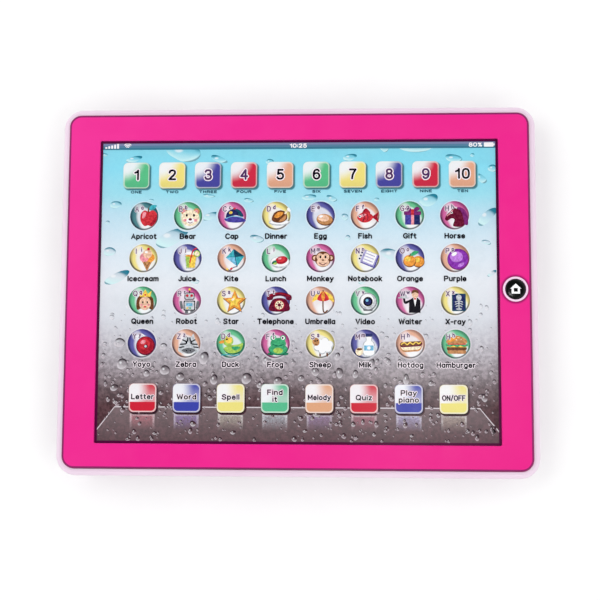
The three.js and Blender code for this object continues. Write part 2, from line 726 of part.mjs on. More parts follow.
add("printed_overlay", sheet(overlayTop, OVERLAY_THICKNESS), "print");
add("upper_circuit_film", sheet(upperFilmTop, FILM_THICKNESS), "film");
add("spacer_film", spacerFilm(), "film");
add("lower_circuit_film", lowerCircuitFilm(), "film");
add("backing_plate", backingPlate(), "white");

add("home_button_ring", homeButtonRing(), "white");
add("home_button_cap", homeButtonCap(), "black");
add("home_button_icon", homeButtonIcon(), "white");
add("home_button_dome", homeButtonDome(), "rubber");
add("home_button_board", homeButtonBoard(), "board");
buttonPosts.forEach(([x, y], i) => {
  const size = { head: 2.2, headHeight: 1.3, shank: 1, length: 5 };
  add(`home_board_screw_${i + 1}`, screw(x, y, BUTTON_BOARD_Z - SHEET_GAP, 1, size), "steel");
});

add("main_board", mainBoard(), "board");
const blobProfile = [[0, 0.05], [6, 0.05], [5.4, 0.9], [3.4, 1.6], [0, 1.8]].map(([r, z]) => [r, boardTop + z]);
add("processor_blob", turned(-14, 26, blobProfile, 16), "black");
add("amplifier_chip", box([5, 10], [24, 28], [boardTop + 0.05, boardTop + 1.7]), "black");
[[16, 20], [16, 30]].forEach(([x, y], i) => {
  const can = [[0, 0.05], [3.1, 0.05], [3.1, 6.6], [2.8, 7], [0, 7]].map(([r, z]) => [r, boardTop + z]);
  add(`capacitor_${i + 1}`, turned(x, y, can, 16), "cell");
});
add("crystal", box([-31, -23], [30.4, 33.6], [boardTop + 0.05, boardTop + 3.4]), "steel");
add("tail_clamp", tailClamp(), "white");
CLAMP_SCREWS.forEach(([x, y], i) => {
  const size = { head: 2.1, headHeight: 1.2, shank: 1, length: 4.6 };
  add(`tail_clamp_screw_${i + 1}`, screw(x, y, 10.2 + SHEET_GAP, -1, size), "steel");
});
boardScrews.forEach(([x, y], i) => {
  const size = { head: 2.1, headHeight: 1.2, shank: 1, length: 4.6 };
  add(`main_board_screw_${i + 1}`, screw(x, y, boardTop + SHEET_GAP, -1, size), "steel");
});

add("speaker_frame", speakerFrame(), "steel");
add("speaker_magnet", speakerMagnet(), "steel");
add("speaker_surround", speakerSurround(), "paper");
add("speaker_cone", speakerCone(), "paper");
speakerScrews.forEach(([x, y], i) => {
  const size = { head: 4.4, headHeight: 1.2, shank: 1, length: 3 };
  add(`speaker_screw_${i + 1}`, screw(x, y, 5.6 + SHEET_GAP, -1, size), "steel");
});

add("battery_1", cell(cellY[0], -1), "cell");
add("battery_2", cell(cellY[1], 1), "cell");
add("battery_3", cell(cellY[2], -1), "cell");
add("battery_contact_positive", contactPlate(-1, cellY[0], cellY[0]).add(solderTab(-1, cellY[0])), "steel");
add("battery_contact_bridge_1", contactPlate(1, cellY[1], cellY[0]).add(contactSpring(cellY[0], 1)), "steel");
add("battery_contact_bridge_2", contactPlate(-1, cellY[2], cellY[1]).add(contactSpring(cellY[1], -1)), "steel");
const negative = contactPlate(1, cellY[2], cellY[2]).add(solderTab(1, cellY[2])).add(contactSpring(cellY[2], 1));
add("battery_contact_negative", negative, "steel");

add("battery_door", batteryDoor(), "white");
const doorScrew = { head: 2.7, headHeight: 1.3, shank: 1.25, length: 6 };
add("battery_door_screw", screw(DOOR_SCREW_X, BAY.y, 1.9, 1, doorScrew), "steel");
CASE_SCREWS.forEach(([x, y], i) => {
  const size = { head: 2.7, headHeight: 1.6, shank: 1.1, length: 9.5 };
  add(`case_screw_${i + 1}`, screw(x, y, 6.5 - SHEET_GAP, 1, size), "steel");
});

// Leads, each soldered at both ends, along the routes that they are dressed in.
const LEAD_RADIUS = 0.6;
const LEAD_STEPS = 12;
const LEADS = {
  battery_lead_positive: ["redLead", [[-40.1, -20.8, 12.8], [-44, -16, 12], [-45, -4, 10], [-43, 8, 9], [-38, 15, 8.9], [-31.5, 16, 8.12]]],
  battery_lead_negative: ["blackLead", [[28.3, -51.2, 12.8], [33, -47, 13], [35, -34, 13.5], [32, -14, 12.5], [26, 2, 10], [13, 13, 8.12]]],
  speaker_lead_1: ["redLead", [[50.8, -23.9, 11.2], [46, -19, 12], [38, -8, 11], [28, 6, 10], [19, 14.2, 9.2], [10, 16, 8.12]]],
  speaker_lead_2: ["blackLead", [[52.3, -22.3, 11.2], [48, -15, 12], [40, -4, 11], [30, 10, 10], [20, 24.6, 9.4], [12.5, 25, 8.12]]],
  button_lead_1: ["redLead", [[100.6, 3, 13.6], [94, 5, 11], [80, 12, 7], [55, 22, 5], [32, 31, 9.4], [21.5, 34, 8.12]]],
  button_lead_2: ["blackLead", [[100.6, -3, 13.6], [93, 1, 11], [79, 8, 7], [55, 18, 5], [32, 27, 9.4], [21.5, 26, 8.12]]],
};
for (const [name, [material, points]] of Object.entries(LEADS)) {
  add(name, wire(points, LEAD_RADIUS, LEAD_STEPS), material);
}

export default tablet;
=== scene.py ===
"""The looks of a child's learning tablet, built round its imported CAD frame. Lengths are metres in the frame's
own axes, apart from the flat artwork, which is laid out in millimetres as on the printed film."""

import json
import math
import random

import bmesh
import bpy
from mathutils import Matrix, Vector


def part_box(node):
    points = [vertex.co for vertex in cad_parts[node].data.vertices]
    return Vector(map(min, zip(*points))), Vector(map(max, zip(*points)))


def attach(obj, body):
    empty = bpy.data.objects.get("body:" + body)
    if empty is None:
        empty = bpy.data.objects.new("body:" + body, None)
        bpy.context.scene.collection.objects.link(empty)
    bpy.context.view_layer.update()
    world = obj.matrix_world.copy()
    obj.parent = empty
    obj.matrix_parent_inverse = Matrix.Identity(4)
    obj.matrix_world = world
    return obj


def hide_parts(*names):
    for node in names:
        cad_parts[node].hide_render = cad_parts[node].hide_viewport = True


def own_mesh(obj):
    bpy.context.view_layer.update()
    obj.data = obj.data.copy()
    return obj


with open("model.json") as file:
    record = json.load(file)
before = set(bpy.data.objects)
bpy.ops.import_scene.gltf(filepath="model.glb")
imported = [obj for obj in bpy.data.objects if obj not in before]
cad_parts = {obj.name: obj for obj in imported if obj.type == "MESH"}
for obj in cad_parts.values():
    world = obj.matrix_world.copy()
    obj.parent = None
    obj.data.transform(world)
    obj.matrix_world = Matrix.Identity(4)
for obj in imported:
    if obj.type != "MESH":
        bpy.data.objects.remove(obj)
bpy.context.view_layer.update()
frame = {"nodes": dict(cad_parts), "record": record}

MM = 0.001
LIGHT = 1.085  # what the studio light gives a flat face
GLARE = 0.006  # what its surface adds to every colour
WHITE = (1, 1, 1, 1)
BLACK = (0, 0, 0, 1)
rng = random.Random(11)
nodes = frame["nodes"]


def linear(r, g, b):
    """The pigment, as linear red, green, blue and alpha, that looks like an sRGB colour in this light."""
    share = [c / 255 for c in (r, g, b)]
    seen = [c / 12.92 if c <= 0.04045 else ((c + 0.055) / 1.055) ** 2.4 for c in share]
    return tuple(max(0.002, c - GLARE) / LIGHT for c in seen) + (1.0,)


def shade(colour, factor, added=0.0):
    """A linear colour made darker or lighter."""
    return tuple(min(1.0, c * factor + added) for c in colour[:3]) + (1.0,)


# ---- Node helpers --------------------------------------------------------------------------------


def node(tree, kind, inputs=None, out=0, **properties):
    """Adds a shader node and returns one of its outputs. inputs maps a socket's name or place to a value, or
    to the output that feeds it."""
    made = tree.nodes.new("ShaderNode" + kind)
    for key, value in properties.items():
        setattr(made, key, value)
    for key, value in (inputs or {}).items():
        if isinstance(value, bpy.types.NodeSocket):
            tree.links.new(value, made.inputs[key])
        else:
            made.inputs[key].default_value = value
    return made.outputs[out]


def maths(tree, operation, a, b=0.0):
    return node(tree, "Math", {0: a, 1: b}, operation=operation)


def times(tree, product, *others):
    for other in others:
        product = maths(tree, "MULTIPLY", product, other)
    return product


def mix(tree, factor, a, b, blend="MIX"):
    return node(tree, "Mix", {0: factor, 6: a, 7: b}, out=2, data_type="RGBA", blend_type=blend)


def cover(tree, colour, paint, share, strength=1.0):
    """Lays a paint, an output or an sRGB colour, over another colour by share times strength."""
    paint = linear(*paint) if isinstance(paint, tuple) else paint
    return mix(tree, times(tree, share, strength), colour, paint)


def smoothstep(tree, value, low, high, start=0.0, end=1.0):
    """Goes from start to end as the value goes from low to high."""
    places = {0: value, 1: low, 2: high, 3: start, 4: end}
    return node(tree, "MapRange", places, interpolation_type="SMOOTHSTEP")


def place(tree):
    """The place in the object's own axes."""
    return node(tree, "TexCoord", out=3)


def attribute(tree, name, out):
    return node(tree, "Attribute", out=out, attribute_name=name)


def split(tree, vector):
    """The X, Y and Z of a vector."""
    made = tree.nodes.new("ShaderNodeSeparateXYZ")
    tree.links.new(vector, made.inputs[0])
    return made.outputs


def noise(tree, scale, detail):
    return node(tree, "TexNoise", {"Vector": place(tree), "Scale": scale, "Detail": detail})


def patches(tree, scale, detail, low, high, start=0.0, end=1.0):
    """Noise of so many features to a metre, with its values from low to high spread from start to end."""
    return smoothstep(tree, noise(tree, scale, detail), low, high, start, end)


def reach(tree, vector, to, low, high):
    """Goes from 0 to 1 as the distance from a place goes from low to high."""
    distance = node(tree, "VectorMath", {0: vector, 1: to}, out=1, operation="DISTANCE")
    return smoothstep(tree, distance, low, high)


def blank(name, colour, roughness, metallic=0.0, specular=0.5):
    made = bpy.data.materials.new(name)
    made.use_nodes = True
    made.diffuse_color = colour
    shader = made.node_tree.nodes["Principled BSDF"]
    shader.inputs["Base Color"].default_value = colour
    shader.inputs["Roughness"].default_value = roughness
    shader.inputs["Metallic"].default_value = metallic
    shader.inputs["Specular IOR Level"].default_value = specular
    return made, made.node_tree, shader


def dress(tree, shader, colour, gloss, grain=None):
    """Links a shader's colour and roughness, and a grain of bumps: strength, depth, scale and detail."""
    if colour:
        tree.links.new(colour, shader.inputs["Base Color"])
    tree.links.new(gloss, shader.inputs["Roughness"])
    if grain:
        strength, depth, scale, detail = grain
        height = noise(tree, scale, detail)
        bump = node(tree, "Bump", {"Strength": strength, "Distance": depth, "Height": height})
        tree.links.new(bump, shader.inputs["Normal"])


def surface(name, colour, roughness, grain, depth, spread=0.06, uneven=0.06, **rest):
    """A moulded, cast or plated surface: its colour drifts by spread, its gloss by uneven, and a grain of the
    given scale (per metre) stands depth high."""
    made, tree, shader = blank(name, colour, roughness, **rest)
    darker, lighter = shade(colour, 1 - spread), shade(colour, 1 + spread)
    drift = mix(tree, patches(tree, 22.0, 3.0, 0.3, 0.7), darker, lighter)
    gloss = patches(tree, 90.0, 4.0, 0.25, 0.75, max(0.02, roughness - uneven), roughness + uneven)
    dress(tree, shader, drift, gloss, (0.5, depth, grain, 3.0))
    return made


# ---- Colours of the printed film -----------------------------------------------------------------

# The picture's background: a height on the film in millimetres, and its sRGB colour there.
BACKGROUND = [
    (-77, 80, 51, 57), (-58, 88, 64, 68), (-50, 108, 92, 96), (-40, 155, 146, 152), (-28, 193, 190, 198),
    (-14, 217, 221, 229), (4, 229, 234, 241), (22, 215, 231, 242), (38, 187, 223, 239), (48, 156, 221, 237),
    (62, 136, 219, 240), (77, 134, 212, 231),
]
LOW_Y, HIGH_Y = -78.0, 78.0
FILM_ROUGHNESS = 0.24
FILM_SPECULAR = 0.12
KEY_CORE = 0.62  # half the straight part of a key's side, in the key's own axes


def background_group():
    """The film's own colour, blue above and grey below, with a fine mottle in its grey part."""
    group = bpy.data.node_groups.new("film_background", "ShaderNodeTree")
    group.interface.new_socket("Color", in_out="OUTPUT", socket_type="NodeSocketColor")
    _, y, _ = split(group, place(group))
    ramp = group.nodes.new("ShaderNodeValToRGB")
    stops = ramp.color_ramp.elements
    while len(stops) < len(BACKGROUND):
        stops.new(0.5)
    for stop, (height, *colour) in zip(stops, BACKGROUND):
        stop.position = (height - LOW_Y) / (HIGH_Y - LOW_Y)
        stop.color = linear(*colour)
    group.links.new(node(group, "MapRange", {0: y, 1: LOW_Y * MM, 2: HIGH_Y * MM}), ramp.inputs[0])
    grey_part = smoothstep(group, y, -0.012, -0.048, 0.05, 0.6)
    speck = patches(group, 640.0, 4.0, 0.32, 0.68, 0.25, 0.75)
    out = group.nodes.new("NodeGroupOutput")
    group.links.new(mix(group, grey_part, ramp.outputs[0], speck, "OVERLAY"), out.inputs[0])
    return group


FILM = background_group()


def film_colour(tree):
    made = tree.nodes.new("ShaderNodeGroup")
    made.node_tree = FILM
    return made.outputs[0]


def film_gloss(tree):
    return patches(tree, 60.0, 3.0, 0.3, 0.7, FILM_ROUGHNESS - 0.05, FILM_ROUGHNESS + 0.05)


def printed(name, build):
    """A print on the glossy film. build(tree) returns its colour."""
    made, tree, shader = blank(name, (0.8, 0.8, 0.8, 1), FILM_ROUGHNESS, specular=FILM_SPECULAR)
    colour = build(tree)
    grain = mix(tree, patches(tree, 2600.0, 2.0, 0.3, 0.7), BLACK, WHITE)
    dress(tree, shader, mix(tree, 0.05, colour, grain, "OVERLAY"), film_gloss(tree))
    return made


def local_axes(tree):
    """The place within a printed shape, -1 to 1 each way, as two numbers and a vector, and its tint."""
    local = attribute(tree, "local", 1)
    u, v, _ = split(tree, local)
    return u, v, local, attribute(tree, "tint", 0)


def ball_colour(tree):
    """A glass ball: crescents of its tint down its left side and over its top right, which deepen towards its
    edge, pale inside, with a thin dark line round its lower half."""
    _, v, local, tint = local_axes(tree)
    centre = (0, 0, 0)
    deep = mix(tree, 0.62, tint, linear(30, 22, 52))
    colour = mix(tree, 0.80, tint, linear(238, 240, 246))
    left = reach(tree, local, (0.50, 0, 0), 0.92, 1.14)
    top = reach(tree, local, (-0.24, -0.46, 0), 1.02, 1.18)
    colour = cover(tree, colour, tint, maths(tree, "MAXIMUM", left, top), 0.92)
    left_edge = reach(tree, local, (0.34, 0.02, 0), 1.04, 1.28)
    top_edge = reach(tree, local, (-0.34, -0.34, 0), 1.18, 1.40)
    colour = cover(tree, colour, deep, maths(tree, "MAXIMUM", left_edge, top_edge), 0.86)
    colour = cover(tree, colour, (246, 247, 249), reach(tree, local, (0.16, -0.60, 0), 0.60, 0.2), 0.8)
    colour = cover(tree, colour, (246, 242, 250), reach(tree, local, (-0.36, 0.56, 0), 0.44, 0.20), 0.55)
    rim = times(tree, reach(tree, local, centre, 0.84, 0.92), reach(tree, local, centre, 1.0, 0.96))
    return cover(tree, colour, (52, 56, 72), times(tree, rim, smoothstep(tree, v, 0.3, -0.4)), 0.85)


def key_edge(tree, u, v, low, high):
    """Goes from 0 to 1 with the distance outside a key's core, which is round at its corners."""
    squares = []
    for side in (u, v):
        past = maths(tree, "SUBTRACT", maths(tree, "ABSOLUTE", side), KEY_CORE)
        outside = maths(tree, "MAXIMUM", past, 0.0)
        squares.append(times(tree, outside, outside))
    return smoothstep(tree, maths(tree, "SQRT", maths(tree, "ADD", *squares)), low, high)


def number_key_colour(tree):
    """Its own colour under white gloss at the upper left, with a pale line round it and a dark edge at its
    right and lower sides."""
    u, v, local, tint = local_axes(tree)
    colour = cover(tree, tint, (40, 70, 90), smoothstep(tree, v, -0.1, -1.0), 0.12)
    colour = cover(tree, colour, (238, 242, 246), reach(tree, local, (-0.95, 1.15, 0), 1.72, 0.78), 0.94)
    colour = cover(tree, colour, (238, 240, 236), key_edge(tree, u, v, 0.22, 0.30), 0.5)
    right = smoothstep(tree, maths(tree, "SUBTRACT", u, v), -0.2, 0.6)
    return cover(tree, colour, (38, 88, 88), times(tree, key_edge(tree, u, v, 0.315, 0.35), right), 0.85)


def function_key_colour(tree):
    """White at the upper left, its colour at the upper right, a deep band below, and a thin pale edge."""
    u, v, local, tint = local_axes(tree)
    above = smoothstep(tree, v, -0.30, -0.26)
    colour = cover(tree, tint, (238, 236, 242), smoothstep(tree, v, 0.95, -0.1, 0.04, 0.38), above)
    white = times(tree, reach(tree, local, (-1.2, 0.6, 0), 1.8, 0.8), above)
    colour = cover(tree, colour, (242, 243, 247), white, 0.92)
    colour = cover(tree, colour, (240, 236, 236), key_edge(tree, u, v, 0.27, 0.31), 0.66)
    return cover(tree, colour, tint, key_edge(tree, u, v, 0.35, 0.38), 0.5)


def shadow_colour(tree):
    """The shadow under a printed key, dark beside it and gone a little farther out."""
    u, v, _, tint = local_axes(tree)
    return cover(tree, film_colour(tree), tint, key_edge(tree, u, v, 0.37, 0.27), 0.82)


def disc_glow_colour(tree):
    """The pale glow round a printed ball."""
    fade = reach(tree, attribute(tree, "local", 1), (0, 0, 0), 1.0, 0.86)
    return cover(tree, film_colour(tree), (244, 240, 246), fade, 0.5)


def drop_colour(tree):
    """A water drop: dark in its upper part, pale in its lower part, with a bright spot and a dark line."""
    u, v, local, tint = local_axes(tree)
    rim = reach(tree, local, (0, 0, 0), 0.40, 0.90)
    up = maths(tree, "ADD", v, times(tree, u, 0.25))
    dark = times(tree, smoothstep(tree, up, -0.05, 0.7), smoothstep(tree, rim, 0.0, 1.0, 0.22, 1.0))
    light = times(tree, smoothstep(tree, up, 0.25, -0.55), smoothstep(tree, rim, 0.0, 1.0, 0.6, 1.0))
    colour = mix(tree, 0.10, film_colour(tree), tint)
    colour = cover(tree, colour, tint, dark, 0.96)
    colour = cover(tree, colour, attribute(tree, "pale", 0), light, 0.85)
    colour = cover(tree, colour, (240, 243, 246), reach(tree, local, (-0.28, 0.20, 0), 0.30, 0.10), 0.7)
    return cover(tree, colour, tint, reach(tree, local, (-0.10, 0.12, 0), 0.98, 1.08), 0.7)


def shelf_colour(tree):
    """The shelf's glass, which lightens the film under it, most along its top."""
    _, y, _ = split(tree, place(tree))
    return cover(tree, film_colour(tree), (225, 215, 220), smoothstep(tree, y, -0.0767, -0.0587, 0.08, 0.14))


def reflection_colour(tree):
    """A key mirrored in the shelf's frosted glass: strongest at its top and sides, gone at its bottom."""
    u, v, _, tint = local_axes(tree)
    across = maths(tree, "ABSOLUTE", u)
    frost = patches(tree, 1500.0, 3.0, 0.36, 0.64, 0.45, 1.0)
    share = times(tree, smoothstep(tree, v, -1.0, 0.9), smoothstep(tree, across, 1.0, 0.9), frost)
    colour = cover(tree, shelf_colour(tree), tint, share, 0.8)
    edge = maths(tree, "MAXIMUM", smoothstep(tree, across, 0.72, 0.9), smoothstep(tree, v, 0.55, 0.85))
    return cover(tree, colour, (232, 226, 232), times(tree, edge, share), 0.6)


def sheet_colour(tree):
    """The bare film, a little hazy in places."""
    colour = cover(tree, film_colour(tree), (246, 250, 252), patches(tree, 34.0, 4.0, 0.35, 0.75), 0.05)
    return cover(tree, colour, (70, 90, 100), patches(tree, 120.0, 5.0, 0.45, 0.8), 0.06)


# ---- Materials of the moulded parts --------------------------------------------------------------

ring_low, ring_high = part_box("home_button_ring")
BEZEL_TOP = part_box("front_bezel")[1].z
BUTTON_SEAT = ((ring_low.x + ring_high.x) / 2, (ring_low.y + ring_high.y) / 2, BEZEL_TOP)


def pink_plastic():
    """Bright pink ABS with the moulding's faint mottle, and painted light: a little lighter towards the left
    and the top, where the key light comes from, and a painted shadow round the button's raised ring."""
    made, tree, shader = blank("pink_plastic", linear(240, 46, 148), 0.34, specular=0.2)
    point = place(tree)
    x, y, _ = split(tree, point)
    # Painted light: lighter on the left, the side the key light comes from.
    colour = mix(tree, smoothstep(tree, x, -0.12, 0.12), linear(242, 51, 153), linear(238, 45, 143))
    # Painted shade: darker towards the bottom, away from the key light.
    colour = cover(tree, colour, (236, 36, 138), smoothstep(tree, y, 0.06, -0.09), 0.5)
    colour = cover(tree, colour, (231, 33, 136), patches(tree, 38.0, 4.0, 0.35, 0.7), 0.22)
    # Painted shadow: a dark ring on the bezel round the button's raised ring, where that ring shades it.
    inner = reach(tree, point, BUTTON_SEAT, 0.0060, 0.0063)
    outer = reach(tree, point, BUTTON_SEAT, 0.0078, 0.0064)
    colour = cover(tree, colour, (140, 16, 92), times(tree, inner, outer), 0.85)
    gloss = patches(tree, 120.0, 4.0, 0.3, 0.7, 0.28, 0.40)
    dress(tree, shader, colour, gloss, (0.35, 0.00004, 2400.0, 2.0))
    return made


def shell_plastic():
    """Very pale pink ABS, its pink in part a painted reflection of the pink bezel, with painted shade that
    makes it a little greyer below the rim's shoulder.
    """
    # The pale pinks stand in part for a painted reflection of the pink bezel in the shell.
    made, tree, shader = blank("shell_plastic", linear(241, 219, 236), 0.33, specular=0.3)
    colour = mix(tree, patches(tree, 22.0, 3.0, 0.3, 0.7), linear(236, 213, 231), linear(240, 218, 235))
    _, _, z = split(tree, place(tree))
    # Painted shade: greyer below the rim's shoulder, where the side curves down away from the light.
    colour = cover(tree, colour, (222, 208, 218), smoothstep(tree, z, 0.0188, 0.0160), 0.7)
    gloss = patches(tree, 90.0, 4.0, 0.25, 0.75, 0.30, 0.36)
    dress(tree, shader, colour, gloss, (0.4, 0.000015, 1500.0, 2.0))
    return made


MOULDED = {
    "shell_plastic": shell_plastic(),
    "bezel_plastic": pink_plastic(),
    "overlay_print": printed("overlay_print", sheet_colour),
}
METAL = {"metallic": 1.0}
# Plain finishes: a colour, a roughness, a grain per metre, its depth in micrometres and the colour's drift.
for name, colour, roughness, grain, depth, spread, rest in [
    # The bezel's rolled edge: the pink plastic darkened as painted shade for the gap beside the shell.
    ("bezel_edge", linear(140, 40, 100), 0.4, 1500, 20, 0.1, {"specular": 0.2}),
    ("circuit_film", (0.66, 0.70, 0.73, 1), 0.35, 400, 10, 0.05, {}),
    ("plate_plastic", (0.74, 0.74, 0.73, 1), 0.5, 900, 40, 0.04, {}),
    ("ring_plastic", linear(248, 216, 240), 0.2, 1200, 10, 0.03, {}),
    ("button_plastic", (0.002, 0.0025, 0.0025, 1), 0.16, 700, 4, 0.3, {"uneven": 0.04, "specular": 0.32}),
    ("icon_plastic", (0.90, 0.90, 0.92, 1), 0.3, 1500, 10, 0.03, {}),
    ("dome_rubber", (0.55, 0.55, 0.57, 1), 0.62, 1100, 30, 0.05, {}),
    ("circuit_board", (0.03, 0.20, 0.07, 1), 0.38, 500, 20, 0.15, {}),
    ("chip_resin", (0.012, 0.012, 0.014, 1), 0.45, 800, 50, 0.3, {}),
    ("capacitor_sleeve", (0.03, 0.04, 0.12, 1), 0.35, 500, 10, 0.1, {}),
    ("bright_metal", (0.70, 0.70, 0.67, 1), 0.25, 900, 20, 0.05, METAL),
    ("speaker_metal", (0.35, 0.35, 0.36, 1), 0.35, 900, 30, 0.08, METAL),
    ("cone_paper", (0.02, 0.02, 0.02, 1), 0.85, 1800, 80, 0.3, {}),
    ("cell_jacket", (0.05, 0.055, 0.07, 1), 0.3, 300, 10, 0.1, {"metallic": 0.5}),
    ("screw_steel", (0.50, 0.50, 0.52, 1), 0.3, 1200, 30, 0.08, METAL),
    ("red_lead", (0.45, 0.015, 0.015, 1), 0.45, 900, 20, 0.1, {}),
    ("black_lead", (0.012, 0.012, 0.012, 1), 0.45, 900, 20, 0.3, {}),
]:
    MOULDED[name] = surface(name, colour, roughness, grain, depth * 1e-6, spread, **rest)

SLOT_OF = {entry["node"]: entry["material_slot"] for entry in frame["record"]["subparts"]}
for name, cad in nodes.items():
    cad.data.materials.clear()
    cad.data.materials.append(MOULDED[SLOT_OF[name]])

# ---- Outlines ------------------------------------------------------------------------------------


def turned(points, x, y, turn):
    """The points turned by some degrees, then moved."""
    c, s = math.cos(math.radians(turn)), math.sin(math.radians(turn))
    return [(x + c * px - s * py, y + s * px + c * py) for px, py in points]


def round_angles(sides):
    return [2 * math.pi * i / sides for i in range(sides)]


def oval(x, y, rx, ry=None, turn=0.0, sides=26):
    ry = rx if ry is None else ry
    return turned([(rx * math.cos(a), ry * math.sin(a)) for a in round_angles(sides)], x, y, turn)


def box(x, y, width, height, corner=0.0, turn=0.0, steps=5):
    """A rectangle with round corners, anticlockwise."""
    corner = min(corner, width / 2, height / 2)
    points = []
    for quarter, (sx, sy) in enumerate(((1, 1), (-1, 1), (-1, -1), (1, -1))):
        cx, cy = sx * (width / 2 - corner), sy * (height / 2 - corner)
        for i in range(steps + 1 if corner else 1):
            angle = (quarter + i / steps) * math.pi / 2
            points.append((cx + corner * math.cos(angle), cy + corner * math.sin(angle)))
    return turned(points, x, y, turn)


def star(x, y, outer, inner):
    """A star with five points, one of them straight up."""
    angles = [math.radians(90 + 36 * i) for i in range(10)]
    return [(x + r * math.cos(a), y + r * math.sin(a)) for r, a in zip([outer, inner] * 5, angles)]


def curve(points, closed, per=5):
    """A smooth curve through the points."""
    count = len(points)
    made = []
    for i in range(count if closed else count - 1):
        near = [points[(i + k) % count if closed else min(max(i + k, 0), count - 1)] for k in (-1, 0, 1, 2)]
        for step in range(per):
            t = step / per
            weights = (
                -0.5 * t + t * t - 0.5 * t**3,
                1 - 2.5 * t * t + 1.5 * t**3,
                0.5 * t + 2 * t * t - 1.5 * t**3,
                -0.5 * t * t + 0.5 * t**3,
            )
            made.append(tuple(sum(w * p[axis] for w, p in zip(weights, near)) for axis in (0, 1)))
    return made if closed else made + [tuple(points[-1])]


def round_end(at, start, radius, way):
    """Half a circle about a line's end, from its start corner, anticlockwise or, for -1, clockwise."""
    base = math.atan2(start[1] - at[1], start[0] - at[0])
    angles = [base + way * math.pi * k / 5 for k in range(1, 5)]
    return [(at[0] + radius * math.cos(a), at[1] + radius * math.sin(a)) for a in angles]


def stroke(points, width, round_ends=True):
    """The outline of a line of the given width along the points."""
    left, right = [], []
    for i, (x, y) in enumerate(points):
        ax, ay = points[max(i - 1, 0)]
        bx, by = points[min(i + 1, len(points) - 1)]
        length = math.hypot(bx - ax, by - ay) or 1e-9
        nx, ny = -(by - ay) / length * width / 2, (bx - ax) / length * width / 2
        left.append((x + nx, y + ny))
        right.append((x - nx, y - ny))
    if not round_ends:
        return left + right[::-1]
    far = round_end(points[-1], left[-1], width / 2, -1)
    return left + far + right[::-1] + round_end(points[0], right[0], width / 2, -1)


# ---- Moulded parts with rounded, smooth edges ----------------------------------------------------


def stand(name, mesh, body="tablet"):
    """Puts a mesh in the scene as a piece that moves with a body."""
    piece = bpy.data.objects.new(name, mesh)
    bpy.context.scene.collection.objects.link(piece)
    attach(piece, body)
    return piece


def smooth(mesh, sharp):
    """Smooth shading, but for the edges that turn by more than sharp degrees."""
    mesh.polygons.foreach_set("use_smooth", [True] * len(mesh.polygons))
    mesh.set_sharp_from_angle(angle=math.radians(sharp))


def refine(name, body, sharp=35.0, bevel=0.0):
    """Stands a finer piece for a CAD node: its facets joined and smoothed, and its sharp edges rounded."""
    mesh = nodes[name].data.copy()
    build = bmesh.new()
    build.from_mesh(mesh)
    bmesh.ops.remove_doubles(build, verts=build.verts, dist=1e-6)
    bmesh.ops.dissolve_limit(build, angle_limit=math.radians(0.2), verts=build.verts, edges=build.edges)
    build.to_mesh(mesh)
    build.free()
    smooth(mesh, sharp)
    piece = stand(name + "_surface", mesh, body)
    if bevel:
        rounding = piece.modifiers.new("rounding", "BEVEL")
        rounding.width = bevel * MM
        rounding.segments = 3
        rounding.limit_method = "ANGLE"
        rounding.angle_limit = math.radians(40)
        rounding.harden_normals = True
    weighting = piece.modifiers.new("weighting", "WEIGHTED_NORMAL")
    weighting.keep_sharp = True
    weighting.weight = 80
    bpy.context.view_layer.update()
    finished = bpy.data.meshes.new_from_object(piece.evaluated_get(bpy.context.evaluated_depsgraph_get()))
    piece.modifiers.clear()
    piece.data = finished
    finished.materials.clear()
    finished.materials.append(MOULDED[SLOT_OF[name]])
    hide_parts(name)
    return piece


refine("front_bezel", "tablet")
refine("rear_shell", "tablet", 32.0)
refine("home_button_ring", "tablet", 40.0, 0.1)
refine("home_button_cap", "home_button", 40.0)
refine("home_button_icon", "home_button", 30.0, 0.03)
refine("battery_door", "battery_door", 30.0, 0.15)

# The rubber dome under the button gets a mesh of its own. On the toy it gives way as the button is pressed.
dome = refine("home_button_dome", "tablet", 40.0)
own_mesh(dome)


def swept_frame(name, half_x, half_y, corner, section, material):
    """A closed strip round a rectangle with round corners. Each point of its section is a step inwards and a
    height, and all its lengths are in millimetres."""
    corners, faces = [], []
    for inward, z in section:
        outline = box(0, 0, 2 * (half_x - inward), 2 * (half_y - inward), corner - inward, steps=10)
        corners += [(x * MM, y * MM, z * MM) for x, y in outline]
    around = len(corners) // len(section)
    for ring in range(len(section)):
        above = (ring + 1) % len(section)
        for i in range(around):
            k = (i + 1) % around
            faces.append((ring * around + i, ring * around + k, above * around + k, above * around + i))
    mesh = bpy.data.meshes.new(name)
    mesh.from_pydata(corners, [], faces)
    mesh.materials.append(MOULDED[material])
    build = bmesh.new()
    build.from_mesh(mesh)
    bmesh.ops.recalc_face_normals(build, faces=build.faces)
    build.to_mesh(mesh)
    build.free()
    smooth(mesh, 50)
    return stand(name, mesh)


# The bezel's outer edge is rolled down into the gap beside the shell. It is the bezel's pink darkened as
# painted shade, for the shadow in that gap.
half_x, half_y, top = (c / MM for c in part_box("front_bezel")[1])
ROLLED_EDGE = [(0, -0.9), (0, -0.12), (0.10, 0.01), (0.40, 0.05), (0.95, 0.03), (1.05, -0.05)]
swept_frame(
    "bezel_rolled_edge", half_x + 0.02, half_y + 0.02, 6.02,
    [(inward, top + rise) for inward, rise in ROLLED_EDGE], "bezel_edge",
)

# ---- The printed artwork -------------------------------------------------------------------------

FILM_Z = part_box("printed_overlay")[1].z / MM
BALL = 7.2  # a picture ball's radius


def pairs(text):
    """The points of a text such as 0,0 3.2,10."""
    return [tuple(float(c) for c in pair.split(",")) for pair in text.split()]


